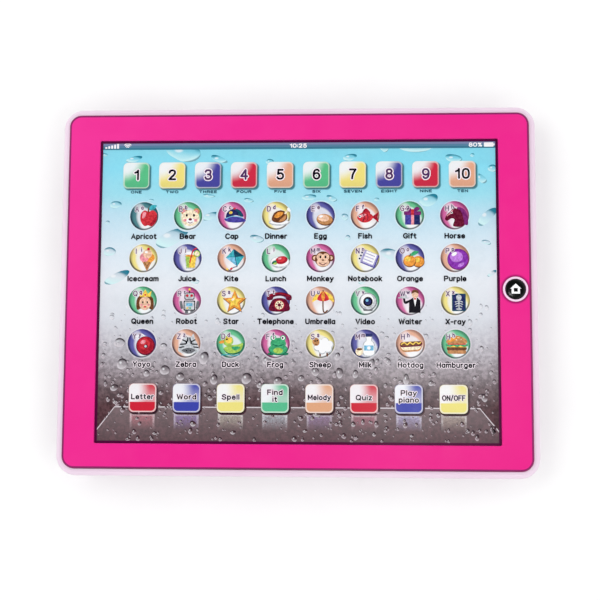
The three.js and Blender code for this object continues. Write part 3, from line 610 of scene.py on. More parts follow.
# The lettering: each letter's lines on a grid ten high. A line that starts with ~ is a smooth curve through
# its points, one with @ a closed one.
BOWL = "@2.4,7 .7,6 0,3.5 .7,1 2.4,0 4.1,1 4.8,3.5 4.1,6"
LETTERS = {
    "A": "0,0 3.2,10 6.4,0|1.1,3.4 5.3,3.4",
    "B": "0,0 0,10|~0,10 3.4,10 5.3,9 5.3,6.3 3.4,5.3 0,5.3|~0,5.3 3.7,5.3 5.8,4.2 5.8,1.1 3.7,0 0,0",
    "C": "~6.3,8.2 4.9,9.7 3.3,10 1.2,9 0,6.6 0,3.4 1.2,1 3.3,0 4.9,.3 6.3,1.8",
    "D": "0,0 0,10|~0,10 2.8,10 5.3,8.7 6.2,5 5.3,1.3 2.8,0 0,0",
    "E": "5.2,0 0,0 0,10 5.2,10|0,5.2 4.5,5.2",
    "F": "0,0 0,10 5.2,10|0,5.2 4.4,5.2",
    "G": "~6.3,8.2 4.9,9.7 3.3,10 1.2,9 0,6.6 0,3.4 1.2,1 3.3,0 5.2,.5 6.4,1.8|6.4,1.8 6.4,4.6 3.8,4.6",
    "H": "0,0 0,10|6,0 6,10|0,5.2 6,5.2",
    "I": "0,0 0,10",
    "J": "~4,10 4,6 4,2.6 3.3,.6 2,0 .6,.6 0,2.4",
    "K": "0,0 0,10|5.6,10 0,4.2|2,6.2 6,0",
    "L": "0,10 0,0 5,0",
    "M": "0,0 0,10|0,10 3.6,2.4 7.2,10|7.2,10 7.2,0",
    "N": "0,0 0,10|0,10 6,0|6,0 6,10",
    "O": "@3.5,10 1.2,9 0,6.6 0,3.4 1.2,1 3.5,0 5.8,1 7,3.4 7,6.6 5.8,9",
    "P": "0,0 0,10|~0,10 3.4,10 5.7,9 5.7,5.6 3.4,4.6 0,4.6",
    "Q": "@3.5,10 1.2,9 0,6.6 0,3.4 1.2,1 3.5,0 5.8,1 7,3.4 7,6.6 5.8,9|4.4,2.6 7,-.6",
    "R": "0,0 0,10|~0,10 3.4,10 5.7,9 5.7,5.6 3.4,4.6 0,4.6|3,4.6 6,0",
    "S": "~5.6,8.4 4.6,9.7 2.9,10 1,9.3 .3,7.6 1.3,5.9 3,5.2 4.9,4.3 5.8,2.5 5,.7 3,0 1.1,.4 0,1.9",
    "T": "0,10 6.4,10|3.2,10 3.2,0",
    "U": "~0,10 0,6.5 0,3.4 .9,.8 3,0 5.1,.8 6,3.4 6,6.5 6,10",
    "V": "0,10 3.2,0 6.4,10",
    "W": "0,10 2.2,0|2.2,0 4.5,9 6.8,0|6.8,0 9,10",
    "X": "0,0 6,10|0,10 6,0",
    "Y": "0,10 3.1,4.8 6.2,10|3.1,4.8 3.1,0",
    "Z": "0,10 6,10|6,10 0,0|0,0 6,0",
    "a": BOWL + "|4.8,7 4.8,0",
    "b": "0,10 0,0|" + BOWL,
    "c": "~4.5,5.6 3.7,6.7 2.4,7 .8,6 0,3.5 .8,1 2.4,0 3.7,.3 4.5,1.4",
    "d": BOWL + "|4.8,10 4.8,0",
    "e": ".1,3.6 4.9,3.6|~4.9,3.6 4.3,6 2.5,7 .7,6 0,3.5 .7,.9 2.5,0 3.9,.3 4.8,1.5",
    "f": "~3.4,9.8 2.4,10 1.4,9 1.3,7 1.3,0|0,7 3.2,7",
    "g": BOWL + "|~4.8,7 4.8,3 4.8,0 4.4,-2.2 2.6,-3 .4,-2.3",
    "h": "0,10 0,0|~0,4.6 .8,6.4 2.5,7 4,6.4 4.6,4.6 4.6,2.4 4.6,0",
    "i": "0,7 0,0|0,9.9 0,10.1",
    "j": "~1.2,7 1.2,3 1.2,-1 .8,-2.6 -.4,-3|1.2,9.9 1.2,10.1",
    "k": "0,10 0,0|4.2,7 0,2.9|1.5,4.4 4.6,0",
    "l": "0,10 0,0",
    "m": "0,7 0,0|~0,4.8 .7,6.4 2.1,7 3.4,6.3 3.8,4.6 3.8,2.4 3.8,0|"
    "~3.8,4.8 4.5,6.4 5.9,7 7.2,6.3 7.6,4.6 7.6,2.4 7.6,0",
    "n": "0,7 0,0|~0,4.6 .8,6.4 2.5,7 4,6.4 4.6,4.6 4.6,2.4 4.6,0",
    "o": "@2.5,7 .7,6 0,3.5 .7,1 2.5,0 4.3,1 5,3.5 4.3,6",
    "p": "0,7 0,-3|" + BOWL,
    "q": "4.8,7 4.8,-3|" + BOWL,
    "r": "0,7 0,0|~0,4.4 .7,6.2 2,7 3,6.9",
    "s": "~4,5.8 3.2,6.8 2,7 .7,6.6 .3,5.2 1.2,4.1 3,3.2 4.1,2.2 3.8,.7 2.2,0 .8,.3 0,1.4",
    "t": "~1.3,9.4 1.3,5 1.3,1.8 1.9,.2 3.3,.1|0,7 3.1,7",
    "u": "~0,7 0,4.6 0,2.4 .6,.6 2.1,0 3.8,.6 4.6,2.4|4.6,7 4.6,0",
    "v": "0,7 2.4,0|2.4,0 4.8,7",
    "w": "0,7 1.8,0|1.8,0 3.6,6.4 5.4,0|5.4,0 7.2,7",
    "x": "0,7 4.5,0|4.5,7 0,0",
    "y": "0,7 2.5,0|~5,7 3.7,3.4 2.4,-.2 1.4,-2.5 -.2,-3",
    "z": "0,7 4.3,7|4.3,7 0,0|0,0 4.3,0",
    "0": "@3,10 .8,9 0,6.4 0,3.6 .8,1 3,0 5.2,1 6,3.6 6,6.4 5.2,9",
    "1": "0,7.4 2.2,8.4 3,10|3,10 3,0",
    "2": "~.1,7.4 .8,9.3 3,10 5.1,9.2 5.6,7.2 4.6,5.1 2.3,2.6 0,0|0,0 5.9,0",
    "3": "~.2,8.2 1.1,9.6 2.9,10 4.9,9.3 5.3,7.5 4.5,5.8 2.5,5.3|"
    "~2.5,5.3 4.8,4.7 5.7,2.7 5,.7 2.9,0 .9,.4 0,2",
    "4": "4.5,0 4.5,10|4.5,10 0,3|0,3 6.1,3",
    "5": "5.3,10 1.1,10 .6,5.3|~.6,5.3 2.8,6.3 4.9,5.5 5.8,3.3 5,.9 2.8,0 .9,.4 0,1.8",
    "6": "@3,6.2 1,5.4 .1,3.1 1,.8 3,0 5,.8 5.8,3.1 5,5.4|~5.3,8.4 4.4,9.7 3,10 1.2,9 .1,6.2 .1,3.1",
    "7": "0,10 5.7,10|~5.7,10 3.8,6.6 2.6,3.4 2.1,0",
    "8": "@2.9,10 1.1,9.4 .5,7.7 1.1,6.1 2.9,5.4 4.7,6.1 5.3,7.7 4.7,9.4|"
    "@2.9,5.4 .8,4.6 0,2.7 .8,.8 2.9,0 5,.8 5.8,2.7 5,4.6",
    "9": "@2.8,3.8 4.8,4.6 5.7,6.9 4.8,9.2 2.8,10 .8,9.2 0,6.9 .8,4.6|"
    "~.5,1.6 1.4,.3 2.8,0 4.6,1 5.7,3.8 5.7,6.9",
    "/": "0,-1 3.8,11",
    ":": "0,2 0,2.3|0,6.6 0,6.9",
    "-": "0,4.4 3.2,4.4",
    "%": "@1.4,10 0,8.4 1.4,6.8 2.8,8.4|@5.6,3.2 4.2,1.6 5.6,0 7,1.6|5.6,10 1.4,0",
}


def letter_lines(letter):
    """The lines of a letter, each as its points and whether it closes, and the letter's width."""
    lines = []
    for part in LETTERS[letter].split("|"):
        points = pairs(part.lstrip("~@"))
        closed = part[0] == "@"
        lines.append((curve(points, closed, 4) if part[0] in "~@" else points, closed))
    return lines, max(x for points, _ in lines for x, _ in points)


INKS = {
    "black": (24, 22, 30), "white": (247, 247, 249), "halo": (250, 238, 246), "navy": (36, 44, 98),
    "indigo": (74, 68, 156), "plum": (122, 42, 112), "purple": (134, 52, 170), "violet": (192, 128, 222),
    "wine": (104, 22, 50), "crimson": (164, 30, 48), "red": (204, 52, 62), "rose": (238, 152, 164),
    "brown": (110, 66, 42), "tan": (194, 138, 90), "peach": (240, 198, 170), "cream": (247, 230, 200),
    "orange": (234, 154, 66), "gold": (244, 206, 88), "lime": (166, 200, 92), "green": (66, 168, 116),
    "leaf": (36, 116, 88), "teal": (64, 170, 184), "deep_teal": (26, 76, 96), "sky": (126, 192, 226),
    "silver": (196, 200, 206), "grey": (112, 114, 120), "lavender": (168, 162, 208),
    "bar_low": (66, 122, 146), "bar_middle": (90, 131, 160), "bar_high": (126, 138, 176),
    # edge is painted shade: the bezel's window wall and its shadow on the film, not an ink of the print.
    "line": (212, 204, 210), "edge": (84, 26, 66), "mark": (84, 56, 98),
}
PLAIN_INKS = ("black", "white", "halo", "line", "edge", "mark", "bar_low", "bar_middle", "bar_high")


def ink(name):
    """A printed colour under the film's uneven gloss, but for edge, which is painted shade along the window.
    All but the plain inks are mottled.
    """
    full = "ink_" + name
    if full in bpy.data.materials:
        return bpy.data.materials[full]
    colour = linear(*INKS[name])
    made, tree, shader = blank(full, colour, FILM_ROUGHNESS, specular=FILM_SPECULAR)
    mottled = None
    if name not in PLAIN_INKS:
        mottle = patches(tree, 900.0, 3.0, 0.35, 0.65)
        mottled = mix(tree, mottle, shade(colour, 0.78), shade(colour, 1.16, 0.01))
    dress(tree, shader, mottled, film_gloss(tree))
    return made


class Print:
    """Flat shapes on the film, gathered into one piece. Its level and its shapes' heights are above it."""

    def __init__(self, name, level):
        self.name, self.level = name, FILM_Z + level
        self.corners, self.faces, self.slots, self.materials = [], [], [], []
        self.local, self.tint, self.pale = [], [], []

    def mesh(self, corners, faces, made, local=None, tint=WHITE, pale=WHITE):
        """Adds faces between corners, each an x, a y and a height."""
        first = len(self.corners)
        if made not in self.materials:
            self.materials.append(made)
        self.corners += [(x * MM, y * MM, (self.level + height) * MM) for x, y, height in corners]
        self.faces += [[first + i for i in face] for face in faces]
        self.slots += [self.materials.index(made)] * len(faces)
        self.local += local or [(0.0, 0.0, 0.0)] * len(corners)
        self.tint += [tint] * len(corners)
        self.pale += [pale] * len(corners)

    def face(self, points, made, height=0.0, centre=None, half=None, tint=WHITE, pale=WHITE):
        """One outline. centre and half give it its own axes, from -1 to 1."""
        local = centre and [((x - centre[0]) / half[0], (y - centre[1]) / half[1], 0.0) for x, y in points]
        self.mesh([(x, y, height) for x, y in points], [range(len(points))], made, local, tint, pale)

    def tile(self, x, y, width, height, corner, made, rise=0.0, tint=WHITE):
        """A rectangle with round corners and its own axes."""
        self.face(box(x, y, width, height, corner), made, rise, (x, y), (width / 2, height / 2), tint)

    def ribbon(self, points, closed, width, made, height):
        """A line with round ends, as a strip of quads and a fan at each end. It rises a hair along its
        length, so that it's never level with itself where a bend folds it over."""
        count = len(points)
        corners, faces = [], []
        for i, (x, y) in enumerate(points):
            before = points[i - 1] if closed or i else points[0]
            after = points[(i + 1) % count] if closed or i < count - 1 else points[-1]
            ahead = math.hypot(after[0] - x, after[1] - y) or 1e-9
            behind = math.hypot(x - before[0], y - before[1]) or 1e-9
            tx = (after[0] - x) / ahead + (x - before[0]) / behind
            ty = (after[1] - y) / ahead + (y - before[1]) / behind
            length = math.hypot(tx, ty) or 1e-9
            sides = 2.0 if closed or 0 < i < count - 1 else 1.0
            offset = width / 2 * min(1.6, sides / length)
            nx, ny = -ty / length * offset, tx / length * offset
            rise = height + 0.0002 * i
            corners += [(x + nx, y + ny, rise), (x - nx, y - ny, rise)]
        for i in range(count if closed else count - 1):
            k = (i + 1) % count
            faces.append([2 * i, 2 * i + 1, 2 * k + 1, 2 * k])
        if not closed:
            for at, side, way in ((points[0], 0, 1), (points[-1], 2 * count - 2, -1)):
                first = len(corners)
                corners += [(x, y, corners[side][2]) for x, y in round_end(at, corners[side], width / 2, way)]
                faces.append([side, *range(first, first + 4), side + 1])
        self.mesh(corners, faces, made)

    def text(self, words, x, y, wide, high, weight, made, height=0.0, gap=3.0):
        """Words centred on x, y. wide and high are the letters' grid, and weight is a line's thickness."""
        drawn = [letter_lines(letter) for letter in words]
        total = sum(size for _, size in drawn) + gap * (len(words) - 1)
        at = x - total * wide / 2
        for index, (lines, size) in enumerate(drawn):
            for order, (points, closed) in enumerate(lines):
                placed = [(at + px * wide, y + (py - 5) * high) for px, py in points]
                self.ribbon(placed, closed, weight, made, height + 0.010 * order + 0.005 * (index % 2))
            at += (size + gap) * wide

    def label(self, words, x, y, wide, high, weight, halo, made, height=0.0, gap=3.0):
        """Words over a pale halo of the given thickness."""
        self.text(words, x, y, wide, high, halo, ink("halo"), height, gap)
        self.text(words, x, y, wide, high, weight, made, height + 0.04, gap)

    def finish(self):
        mesh = bpy.data.meshes.new(self.name)
        mesh.from_pydata(self.corners, [], self.faces)
        for made in self.materials:
            mesh.materials.append(made)
        mesh.polygons.foreach_set("material_index", self.slots)
        local = mesh.attributes.new("local", "FLOAT_VECTOR", "POINT")
        local.data.foreach_set("vector", [c for v in self.local for c in v])
        for name, colours in (("tint", self.tint), ("pale", self.pale)):
            layer = mesh.attributes.new(name, "FLOAT_COLOR", "POINT")
            layer.data.foreach_set("color", [c for v in colours for c in v])
        for polygon in mesh.polygons:
            if polygon.normal.z < 0:
                polygon.flip()
        stand(self.name, mesh)


# ---- Water drops and the shelf -------------------------------------------------------------------

LEFT, RIGHT, BOTTOM, TOP = -100.17, 100.67, -76.67, 75.87  # the bezel's window, less a hair
MIDDLE = (LEFT + RIGHT) / 2
DROP_SIDES = 22
RAGGED = 0.1
TEAL, TEAL_PALE = linear(30, 120, 144), linear(208, 242, 244)
GREY, GREY_PALE = linear(44, 34, 42), linear(214, 208, 214)
DROP = printed("water_drop_print", drop_colour)
drops = Print("water_drops_print", 0.02)
shelf = Print("shelf_print", 0.045)
shelf_drops = Print("shelf_drops_print", 0.062)


def drop(x, y, rx, ry, turn=0.0, dark=TEAL, pale=TEAL_PALE):
    """A drop's outline is an oval pulled a little out of shape. Its own axes keep the film's up."""
    phase = rng.random() * 6.28
    outline = []
    for angle in round_angles(DROP_SIDES):
        bulge = 1 + RAGGED * math.sin(2 * angle + phase) + 0.5 * RAGGED * math.sin(3 * angle + 2 * phase)
        outline.append((rx * bulge * math.cos(angle), ry * bulge * math.sin(angle)))
    points = turned(outline, x, y, turn)
    half = (1.04 * max(abs(px - x) for px, _ in points), 1.04 * max(abs(py - y) for _, py in points))
    points = [(min(max(px, LEFT), RIGHT), min(max(py, BOTTOM), TOP)) for px, py in points]
    layer = drops if y > -58 else shelf_drops
    layer.face(points, DROP, rng.random() * 0.012, (x, y), half, dark, pale)


# The drops on the upper, blue part: where, how large and how far turned.
for x, y, rx, ry, turn in [
    (-57.5, 70.0, 8.6, 4.8, -4), (60.5, 73.2, 10.0, 3.6, 0), (66.0, 44.8, 5.0, 2.8, 32),
    (95.0, 36.5, 5.6, 2.6, 42), (-63.0, 26.2, 9.6, 3.4, 30), (-43.6, 37.2, 4.6, 1.8, 14),
    (-92.0, 43.2, 2.8, 1.9, 0), (-94.6, 19.2, 3.4, 2.0, 10), (-83.0, 66.6, 4.2, 1.4, 10),
    (-39.6, 66.4, 4.8, 1.4, -18), (-24.4, 45.2, 2.4, 1.1, -12), (-20.0, 25.6, 3.6, 1.8, -8),
    (-13.8, 65.0, 1.9, 1.4, 0), (26.6, 67.0, 3.4, 1.7, 6), (44.0, 72.0, 2.2, 2.4, 0),
    (6.2, 46.6, 3.6, 1.5, 10), (17.6, 46.0, 2.8, 1.3, -18), (24.2, 36.6, 1.7, 1.7, 0),
    (78.6, 66.2, 4.2, 2.0, -16), (92.0, 56.0, 4.0, 1.6, -40), (98.0, 61.0, 2.2, 2.0, 0),
    (94.4, 23.6, 2.2, 1.2, -14), (47.6, 17.4, 6.4, 2.4, -22), (-96.0, 34.0, 1.3, 0.9, 0),
    (83.4, 14.6, 1.6, 1.3, 20), (-90.6, 6.0, 6.8, 2.4, 22), (-51.0, 4.0, 2.4, 1.0, -10),
    (33.0, 4.0, 2.2, 1.1, 16), (57.0, 26.8, 1.6, 0.8, 0), (25.6, 26.0, 1.5, 1.2, 0),
    (-44.6, 47.6, 3.0, 0.9, -8), (97.0, 8.0, 2.6, 1.0, 30), (-74.0, 45.4, 1.3, 0.6, 0),
    (40.0, 45.4, 1.2, 0.9, 0), (88.0, 67.8, 1.2, 0.8, 0), (-98.0, 69.0, 1.4, 0.8, 0),
]:
    drop(x, y, rx, ry, turn)

# The larger drops on the lower, grey part.
for x, y, rx, ry in [
    (-88.5, -26.8, 2.6, 2.5), (-87.0, -37.4, 2.5, 3.0), (-66.4, -28.6, 1.7, 1.8), (-65.4, -40.4, 2.3, 2.6),
    (-46.0, -34.4, 2.4, 3.2), (-57.6, -43.6, 1.9, 2.2), (-74.6, -42.0, 1.4, 1.9), (-40.8, -45.0, 2.0, 2.4),
    (-24.6, -44.4, 2.4, 3.0), (-14.6, -35.6, 2.0, 2.2), (-15.0, -26.6, 1.3, 1.6), (-17.4, -47.6, 1.9, 2.1),
    (-9.0, -45.6, 2.0, 2.2), (2.6, -44.2, 1.5, 1.7), (9.6, -41.0, 1.8, 2.4), (20.4, -33.4, 1.4, 2.0),
    (21.6, -41.6, 1.8, 2.6), (29.4, -42.0, 1.3, 2.3), (37.4, -37.0, 1.6, 2.8), (45.6, -36.0, 1.2, 1.9),
    (54.4, -44.6, 1.6, 2.6), (66.6, -46.4, 1.2, 1.5), (74.4, -37.4, 1.6, 1.6), (92.6, -53.4, 1.5, 2.2),
    (-90.8, -49.2, 2.0, 1.7), (-90.0, -56.2, 1.2, 1.2), (-60.6, -54.4, 1.4, 1.3), (-42.6, -54.0, 1.4, 1.4),
    (56.6, -20.6, 1.3, 1.5), (72.4, -31.0, 1.2, 1.2), (-34.8, -30.4, 1.5, 1.2), (91.6, -29.4, 1.1, 1.4),
    (88.0, -43.6, 0.9, 1.0), (96.0, -41.0, 0.9, 1.1), (13.0, -53.6, 1.2, 1.4), (79.6, -55.0, 1.2, 1.2),
    (-51.0, -66.8, 1.6, 1.4), (10.4, -62.0, 1.8, 1.3), (30.6, -61.4, 1.3, 1.4), (28.4, -66.6, 1.2, 1.2),
    (-80.6, -59.4, 0.9, 1.2), (-31.0, -71.0, 1.3, 1.0), (38.6, -71.4, 1.0, 1.1), (57.0, -72.0, 1.0, 0.8),
    (70.0, -62.0, 1.1, 1.2), (-70.0, -71.6, 1.1, 0.9), (4.6, -70.0, 1.1, 0.9), (84.4, -69.6, 1.0, 1.0),
]:
    drop(x, y, rx, ry, 0, GREY, GREY_PALE)

# The small drops are thickest at the bottom, and darkest where the film is dark.
for _ in range(800):
    depth = rng.random()
    x = LEFT + 2 + rng.random() * (RIGHT - LEFT - 4)
    y = -8 - 67 * depth**0.8
    size = 0.34 + 0.9 * rng.random() ** 2.2
    near = min(1.0, max(0.0, (-8 - y) / 30))
    dark, pale = (
        tuple(a * near + b * (1 - near) for a, b in zip(linear(*low), linear(*high)))
        for low, high in (((58, 46, 54), (140, 142, 152)), ((200, 187, 195), (236, 236, 242)))
    )
    drop(x, y, size, size * (0.9 + 0.6 * rng.random()), 0, dark, pale)

SHELF_HALF, SHELF_TOP, SHELF_MIDDLE = 90.3, -58.7, -71.0
shelf_outline = [
    (-SHELF_HALF, SHELF_TOP), (SHELF_HALF, SHELF_TOP), (RIGHT, SHELF_MIDDLE), (RIGHT, BOTTOM), (LEFT, BOTTOM),
    (LEFT, SHELF_MIDDLE),
]
shelf.face(shelf_outline, printed("shelf_print", shelf_colour), 0, (0, -67.5), (101, 9))
shelf_edge = [
    (LEFT + 0.3, SHELF_MIDDLE), (-SHELF_HALF, SHELF_TOP), (SHELF_HALF, SHELF_TOP), (RIGHT - 0.3, SHELF_MIDDLE)
]
shelf.face(stroke(shelf_edge, 0.55, False), ink("line"), 0.006)

# ---- Keys ----------------------------------------------------------------------------------------

# Where the keys are, which is where the spacer film has its holes.
NUMBER_X = [0.7 + (i - 4.5) * 18.28 for i in range(10)]
NUMBER_Y = 58.0
NUMBER_WORD_Y = 49.6
COLUMN_X = [0.8 + (i - 3.5) * 22.3 for i in range(8)]
ROW_Y = [37.2 - i * 21.45 for i in range(4)]
CAPTION_DROP = 10.3
FUNCTION_X = [0.6 + (i - 3.5) * 22.0 for i in range(8)]
FUNCTION_Y = -54.2
REFLECTION_Y = -66.2

TINTS = {
    "green": (92, 190, 136), "yellow": (238, 222, 128), "indigo": (76, 74, 158), "red": (204, 50, 72),
    "salmon": (226, 168, 138), "magenta": (204, 84, 150), "teal": (48, 120, 128),
    "function_red": (204, 44, 62), "function_blue": (64, 72, 168), "function_yellow": (236, 224, 132),
    "function_green": (92, 188, 144), "function_orange": (222, 166, 130),
}
SHADOW = printed("key_shadow_print", shadow_colour)
DISC_GLOW = printed("picture_glow_print", disc_glow_colour)
NUMBER_KEY = printed("number_key_print", number_key_colour)
FUNCTION_KEY = printed("function_key_print", function_key_colour)
BALL_PRINT = printed("picture_ball_print", ball_colour)
REFLECTION = printed("key_reflection_print", reflection_colour)
shadows = Print("key_shadow_print", 0.07)
keys = Print("key_print", 0.09)
lettering = Print("lettering_print", 0.13)

NUMBER_WORDS = "ONE TWO THREE FOUR FIVE SIX SEVEN EIGHT NINE TEN".split()
NUMBER_TINTS = "green yellow indigo red salmon".split() * 2
for i, (x, words, tint) in enumerate(zip(NUMBER_X, NUMBER_WORDS, NUMBER_TINTS)):
    shadows.tile(x + 0.65, NUMBER_Y - 0.65, 14.6, 14.6, 3.2, SHADOW, tint=linear(20, 84, 96))
    keys.tile(x, NUMBER_Y, 13.6, 13.6, 2.6, NUMBER_KEY, tint=linear(*TINTS[tint]))
    digit_ink = ink("mark" if tint in ("indigo", "red") else "black")
    lettering.label(str(i + 1), x, NUMBER_Y + 0.4, 0.50, 0.46, 1.0, 2.0, digit_ink, gap=3.8)
    lettering.text(words, x, NUMBER_WORD_Y, 0.21, 0.11, 0.34, ink("deep_teal"), 0, 3.2)

# Each function key's words, its colour, and the colour of its reflection in the shelf.
FUNCTION_KEYS = [
    ("Letter", "red", (196, 128, 138)),
    ("Word", "blue", (150, 130, 184)),
    ("Spell", "yellow", (192, 184, 172)),
    ("Find it", "green", (184, 190, 200)),
    ("Melody", "orange", (160, 136, 172)),
    ("Quiz", "red", (180, 118, 134)),
    ("Play piano", "blue", (184, 178, 216)),
    ("ON/OFF", "yellow", (184, 170, 160)),
]
for x, (words, tint, reflected) in zip(FUNCTION_X, FUNCTION_KEYS):
    shelf.tile(x, REFLECTION_Y, 13.0, 9.4, 0.8, REFLECTION, 0.01, linear(*reflected))
    shadows.tile(x + 0.5, FUNCTION_Y - 0.6, 15.0, 15.4, 3.0, SHADOW, tint=linear(34, 26, 38))
    keys.tile(x, FUNCTION_Y, 13.8, 14.2, 2.2, FUNCTION_KEY, tint=linear(*TINTS["function_" + tint]))
    words = words.split()
    for line, word in enumerate(words):
        y = FUNCTION_Y + 0.6 + (0 if len(words) == 1 else 2.4 - 3.4 * line)
        wide = min(0.30, 10.9 / (sum(letter_lines(c)[1] for c in word) + 3 * len(word) - 3))
        lettering.label(word, x, y, wide, 0.22, 0.54, 1.15, ink("black"))

# ---- Picture keys --------------------------------------------------------------------------------


def dots(centre, radii, size, turns):
    """A ring of dots. turns is its first angle and the step between dots, in radians, and their count."""
    start, step, count = turns
    made = []
    for i in range(int(count)):
        angle = start + i * step
        x, y = centre[0] + radii[0] * math.cos(angle), centre[1] + radii[1] * math.sin(angle)
        made.append(oval(x, y, *size))
    return made


# What the numbers after a shape's kind and ink are. Each gives a list of outlines.
SHAPES = {
    "oval": lambda centre, radii, turn=(0.0,): [oval(*centre, radii[0], radii[-1], *turn)],
    "box": lambda centre, size, corner=(0.0,), turn=(0.0,): [box(*centre, *size, *corner, *turn)],
    "corners": lambda *points: [points],
    "curve": lambda *points: [curve(points, True)],
    "line": lambda width, *points: [stroke(curve(points, False), *width)],
    "star": lambda centre, radii: [star(*centre, *radii)],
    "ring": dots,
}

